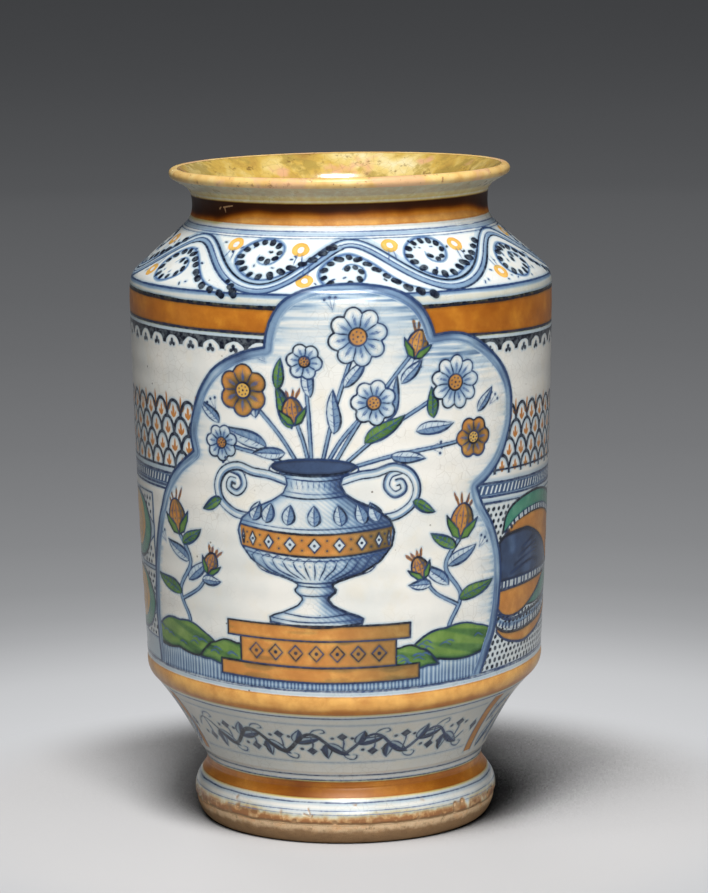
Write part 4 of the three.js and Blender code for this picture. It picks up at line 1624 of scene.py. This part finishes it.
def clay_material():
    """Bare buff earthenware: turned rings, open grain, rubbed edges, and painted shade darkening the foot's
    lowest few mm.
    """
    s = Surface("bare_earthenware")
    level = s.times(s.add("ShaderNodeSeparateXYZ", Vector=s.spot).outputs["Z"], 1000)
    colour = s.blend(s.noise(6, 5, 0.65), srgb(248, 220, 182), srgb(214, 174, 130))
    colour = s.over(colour, srgb(238, 178, 120), s.noise(13, 4, 0.7), 0.48, 0.66, 0, 0.7)
    colour = s.over(colour, srgb(126, 96, 68), s.noise(3, 4, 0.75), 0.55, 0.7, 0, 0.6)
    # Painted shade: the foot's underturned lowest few mm and its resting face turn to a deeper clay.
    uneven = s.plus(level, s.times(s.minus(s.noise(8, 4, 0.7), 0.5), 5.5))
    painted_foot_shade = s.times(s.ramp(uneven, 7.4, 4.9), s.ramp(level, -1.0, 0.2))
    under = s.blend(s.noise(5, 4, 0.65), srgb(186, 148, 106), srgb(138, 106, 78))
    colour = s.blend(s.times(painted_foot_shade, 0.95), colour, under)
    grains = s.ramp(s.cells(1.3), 0.1, 0.2, 1, 0)
    colour = s.blend(s.times(grains, 0.35), colour, srgb(92, 68, 48))
    rings = s.noise(1.0, 2, 0.5, s.stretched(60, 0.8))
    height = s.plus(s.times(s.noise(1.0, 4, 0.7), 0.09), s.times(rings, 0.10))
    height = s.minus(height, s.times(grains, 0.08))
    return s.finish(colour, 0.82, height, Specular_IOR_Level=0.25)


# A coat's map: the share of its width that the front takes, the gap over each strip in mm, where
# the back's margin starts and how wide it is, and how far the strips stay off the map's edges
FRONT_SHARE = 0.93
STRIP_GAP = 2.0
BACK_START, BACK_WIDTH = 0.955, 0.04
OFF_SIDE, OFF_FOOT = 0.005, 0.003


def strips_uv(arc, rows, columns, angles, back, around):
    """A map for a coat: its front cut into stacked strips, and its back in a narrow margin."""
    count = len(angles)
    high = arc.max() - arc.min() + STRIP_GAP

    def size_with(strips):
        return max(around / strips / FRONT_SHARE, strips * high)

    strips = min(range(1, 7), key=size_with)
    size = size_with(strips)
    turn = (angles + 90.0) % 360.0
    which = np.minimum((turn / (360 / strips)).astype(int), strips - 1)
    strip = which[columns[:, 0]]
    part = (turn[columns] - strip[:, None] * (360 / strips)) % 360.0
    part = np.where(part > 300, part - 360, part)
    u = OFF_SIDE + part / 360 * around / size
    v = OFF_FOOT + (strip[:, None] * high + arc[rows] - arc.min()) / size
    u_back = BACK_START + BACK_WIDTH * (rows - rows.min()) / max(rows.max() - rows.min(), 1)
    v_back = OFF_FOOT + 0.99 * np.where((columns == 0) & (columns[:, :1] > 1), count, columns) / count
    back = back[:, None]
    return np.stack([np.where(back, u_back, u), np.where(back, v_back, v)], axis=-1)


def linked(name, data):
    """An object that shows a mesh, a lamp or a camera in the scene."""
    made = bpy.data.objects.new(name, data)
    bpy.context.scene.collection.objects.link(made)
    return made


def piece(name, grid, values, closed, material, node, sharp=(), uv=None):
    """A mesh from a grid of places in mm that closes round the jar.

    A closed grid also joins its last row to its first. An open one ends in a single point on the
    jar's axis at both ends.
    """
    rows, columns = grid.shape[:2]
    points = grid.reshape(-1, 3)
    index = np.arange(rows * columns).reshape(rows, columns)
    used = np.ones(rows * columns, bool)
    if not closed:
        used[1:columns] = False
        used[(rows - 1) * columns + 1:] = False
        index[0], index[-1] = 0, (rows - 1) * columns
    renumbered = np.cumsum(used) - 1
    index = renumbered[index]
    above = np.roll(index, -1, axis=0) if closed else index[1:]
    here = index if closed else index[:-1]
    quads = np.stack([here, np.roll(here, -1, axis=1), np.roll(above, -1, axis=1), above], axis=-1)
    quads = quads.reshape(-1, 4)
    first = quads[:, 0] == quads[:, 1]
    last = quads[:, 2] == quads[:, 3]
    sizes = np.where(first | last, 3, 4)
    keep = np.ones(quads.shape, bool)
    keep[first, 1] = False
    keep[last, 3] = False
    corners = quads[keep]
    mesh = bpy.data.meshes.new(name)
    mesh.vertices.add(int(used.sum()))
    mesh.vertices.foreach_set("co", (points[used] * MM).astype(np.float32).ravel())
    mesh.loops.add(len(corners))
    mesh.loops.foreach_set("vertex_index", corners.astype(np.int32))
    mesh.polygons.add(len(sizes))
    mesh.polygons.foreach_set("loop_start", np.concatenate([[0], np.cumsum(sizes)[:-1]]).astype(np.int32))
    mesh.polygons.foreach_set("use_smooth", np.ones(len(sizes), bool))
    mesh.update(calc_edges=True)
    if len(sharp):
        ends = np.empty(len(mesh.edges) * 2, np.int32)
        mesh.edges.foreach_get("vertices", ends)
        row = ends.reshape(-1, 2) // columns
        hard = np.isin(row[:, 0], sharp) & (row[:, 0] == row[:, 1])
        mesh.attributes.new("sharp_edge", "BOOLEAN", "EDGE").data.foreach_set("value", hard)
    for key, value in values.items():
        value = value.reshape(-1)[used].astype(np.float32)
        mesh.attributes.new(key, "FLOAT", "POINT").data.foreach_set("value", value)
    if uv is not None:
        mesh.uv_layers.new(name="OFBake").data.foreach_set("uv", uv[keep].astype(np.float32).ravel())
    made = linked(name, mesh)
    mesh.materials.append(material)
    mesh.validate()
    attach(made, "root")
    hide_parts(node)


def round_the_jar(profile, angles):
    """A profile in mm, repeated at every angle."""
    return np.repeat(profile[:, None, :], len(angles), axis=1)


def placed(section, angles):
    """Where the points of a section in mm come to lie on the uneven jar."""
    return place(section[:, :, 0], angles[None, :] + 0 * section[:, :, 0], section[:, :, 1])


BACK_STEP = 12


def coat(name, profile, angles, values, material, node, sink=None):
    """A closed coat of glaze: its front, and a coarser back close over the clay."""
    normal = normals_of(profile)
    front = round_the_jar(profile, angles)
    if sink is not None:
        front = front - normal[:, None, :] * sink[:, :, None]
    behind = np.unique(np.append(np.arange(0, len(profile), BACK_STEP), len(profile) - 1))[::-1]
    back = round_the_jar((profile - normal * (GLAZE - BOND))[behind], angles)
    section = np.concatenate([front, back])
    count, wide = len(profile), len(angles)
    rows = np.repeat(np.arange(len(section)), wide)
    columns = np.tile(np.arange(wide), len(section))
    corner_rows = np.stack([rows, rows, rows + 1, rows + 1], axis=-1)
    corner_columns = np.stack([columns, (columns + 1) % wide, (columns + 1) % wide, columns], axis=-1)
    hidden = rows >= count - 1
    arc = np.concatenate([[0], np.cumsum(np.hypot(*np.diff(profile, axis=0).T))])
    arc = np.concatenate([arc, np.full(len(section) - count + 1, arc[-1])])
    uv = strips_uv(arc, corner_rows, corner_columns, angles, hidden, 2 * math.pi * profile[:, 0].max())
    extended = {key: np.concatenate([value, value[behind]]) for key, value in values.items()}
    piece(name, placed(section, angles), extended, True, material, node, (0, count - 1), uv)


# Each zone's roughness and highlight, where they differ from the wall's
SHINE = {"foot": 0.2, "bevel": 0.2, "neck": 0.24}
GLOSS = {"shoulder": 0.26, "neck": 0.18}

layers = dict(canvas, tone=tone, wash=wash, warm=warm, browning_and_painted_light=browning_and_painted_light)
for name in painted_zones:
    first, last = spans[name]
    own = {key: layer[first:last + 1] for key, layer in layers.items()}
    sink = None
    if name == "foot_glaze":
        sink = 0.52 * smooth(-0.7, 1.3, own["bare"]) * smooth(22, 19, UP[first:last + 1])
    zone = name.split("_")[0]
    ragged = 0.45 if zone == "foot" else 0.1
    finish = painted_material(zone + "_paint", SHINE.get(zone, 0.14), GLOSS.get(zone, 0.5), ragged)
    coat(zone + "_coat", skin[first:last + 1], ANGLES, own, finish, name, sink)

EVEN = np.arange(-180, 179.9, 0.5)
coat("lip_coat", zones["lip_glaze"], EVEN, {}, lip_material(), "lip_glaze")


def lathed(name, profile, material, node):
    """A closed piece turned from a profile that starts and ends on the jar's axis."""
    piece(name, placed(round_the_jar(profile, EVEN), EVEN), {}, False, material, node)


inner = zones["inner_glaze"]
inner_back = (inner - normals_of(inner) * (GLAZE - BOND))[::-1]
inner_back[0, 0] = inner[-1, 0] = 0
lathed("inner_coat", np.concatenate([inner_back, inner]), inner_material(), "inner_glaze")

whole = joined(*zones.values())
clay = whole - normals_of(whole) * GLAZE
clay[-1, 0] = 0
HOLLOW = (0, 2.5)
RING_INSIDE = (50.2, 0)
RING_OUTSIDE = (59.2, 0)
pot = joined(
    stretch(HOLLOW, RING_INSIDE, (37, 0), step=1.6),
    stretch(RING_INSIDE, RING_OUTSIDE, step=1.0),
    stretch(RING_OUTSIDE, clay[0], (2.6, 0), (-0.2, -4.2), step=0.5),
    clay,
)
lathed("clay_pot", pot, clay_material(), "clay_body")

# The floor: metres to where its flat part ends, its segments round, its greys by a quarter of the
# distance from the jar's axis, shown as a painted falloff of light, and the tilt that draws its painted
# shadow out to the right and back
FLAT_END = 3.2
SEGMENTS = 96
GREYS = (
    (0.0, 210), (0.0525, 207), (0.0725, 198), (0.0975, 170), (0.11, 158), (0.129, 146), (0.165, 134),
    (0.2075, 126), (0.26, 118), (0.32, 112), (0.395, 105), (0.4875, 99), (0.605, 94), (0.7575, 88),
    (0.8325, 82), (0.865, 76), (0.8875, 69), (0.91, 62),
)
SHADOW_LEAN = (-0.4, -1.5, 0)


def sweep_stage():
    """A pale floor that curves up into a grey backdrop, round the jar at every side."""
    bend = np.linspace(0.1, 1.57, 14)
    radii = np.concatenate([np.geomspace(0.04, FLAT_END, 60), FLAT_END + 0.5 * np.sin(bend), [3.7]])
    levels = np.concatenate([np.zeros(60), 0.5 - 0.5 * np.cos(bend), [2.4]])
    turns = np.linspace(0, 2 * math.pi, SEGMENTS, endpoint=False)
    points = [(0.0, 0.0, 0.0)]
    faces = []
    for index, (radius, level) in enumerate(zip(radii, levels)):
        start = len(points)
        points.extend((radius * math.cos(turn), radius * math.sin(turn), level) for turn in turns)
        for k in range(SEGMENTS):
            here, there = start + k, start + (k + 1) % SEGMENTS
            if index:
                faces.append((here - SEGMENTS, here, there, there - SEGMENTS))
            else:
                faces.append((0, here, there))
    mesh = bpy.data.meshes.new("studio_floor")
    mesh.from_pydata(points, [], faces)
    mesh.polygons.foreach_set("use_smooth", [True] * len(faces))
    s = Surface("pale_floor")
    parts = s.add("ShaderNodeSeparateXYZ", Vector=s.spot)
    flat = s.add("ShaderNodeCombineXYZ", X=parts.outputs["X"], Y=parts.outputs["Y"])
    away = s.add("ShaderNodeVectorMath", {"operation": "LENGTH"}, i0=flat.outputs[0]).outputs["Value"]
    # Painted light: for the camera and in reflections the floor glows in these greys, pale by the jar and
    # darkening up the backdrop, and the glow takes over from the lit floor beyond the jar's shadow.
    stops = [(at, srgb(value, value + 1, value + 3)) for at, value in GREYS]
    grey = s.colours(s.times(away, 0.25), *stops)
    glow = s.add("ShaderNodeEmission", Color=grey).outputs[0]
    rays = s.add("ShaderNodeLightPath")
    seen = s.math("MAXIMUM", rays.outputs["Is Camera Ray"], rays.outputs["Is Glossy Ray"])
    # Painted shadow: ambient occlusion, leaned to the left and front, darkens the floor's own colour round
    # the jar.
    upright = s.add("ShaderNodeNewGeometry").outputs["Normal"]
    leaning = s.add("ShaderNodeVectorMath", {"operation": "ADD"}, i0=upright, i1=SHADOW_LEAN).outputs[0]
    shaded = s.add("ShaderNodeAmbientOcclusion", {"samples": 8}, Distance=0.24, Normal=leaning).outputs["AO"]
    floor_with_painted_shadow = s.blend(s.ramp(shaded, 0.56, 0.82), srgb(5, 5, 5), srgb(206, 206, 208))
    plain = s.add("ShaderNodeBsdfDiffuse", Color=s.blend(seen, srgb(116, 115, 113), floor_with_painted_shadow)).outputs[0]
    share = s.times(seen, s.ramp(away, 0.145, 0.21))
    mixed = s.add("ShaderNodeMixShader", i0=share, i1=plain, i2=glow).outputs[0]
    s.add("ShaderNodeOutputMaterial", Surface=mixed)
    mesh.materials.append(s.material)
    made = linked("studio_floor", mesh)


sweep_stage()


def soft_light(name, place_at, target, wide, high, power, colour=(1, 1, 1)):
    """A rectangular lamp, in metres and watts, that faces a target."""
    lamp = bpy.data.lights.new(name, "AREA")
    lamp.shape = "RECTANGLE"
    lamp.size, lamp.size_y = wide, high
    lamp.energy = power
    lamp.color = colour
    made = linked(name, lamp)
    made.location = place_at
    direction = Vector(target) - Vector(place_at)
    made.rotation_euler = direction.to_track_quat("-Z", "Y").to_euler()
    return made


soft_light("key", (0.04, -1.15, 2.05), (0, 0, 0.14), 0.8, 0.55, 50, (1.0, 0.985, 0.96))
soft_light("front", (0.3, -2.3, 0.8), (0, 0, 0.12), 0.9, 0.6, 26)
back_light = soft_light("back", (-0.6, 2.3, 0.7), (0, 0, 0.16), 1.1, 0.5, 18)
back_light.visible_glossy = False

world = bpy.data.worlds.new("studio")
bpy.context.scene.world = world
world.use_nodes = True
sky = world.node_tree.nodes["Background"]
sky.inputs["Color"].default_value = (0.95, 0.97, 1.0, 1)
sky.inputs["Strength"].default_value = 0.035

# The camera that was fitted to the photograph
PITCH, ROLL = -8.96, -0.56
camera = bpy.data.cameras.new("photograph")
camera.sensor_fit = "VERTICAL"
camera.sensor_height = 36
camera.lens = 144.53
viewer = linked("photograph", camera)
viewer.location = (0.00503, -1.51903, 0.3984)
pitched = Euler((math.radians(90 + PITCH), 0, 0)).to_matrix()
viewer.rotation_euler = (pitched @ Matrix.Rotation(math.radians(ROLL), 3, "Z")).to_euler()
bpy.context.scene.camera = viewer
bpy.context.scene.view_settings.view_transform = "Standard"
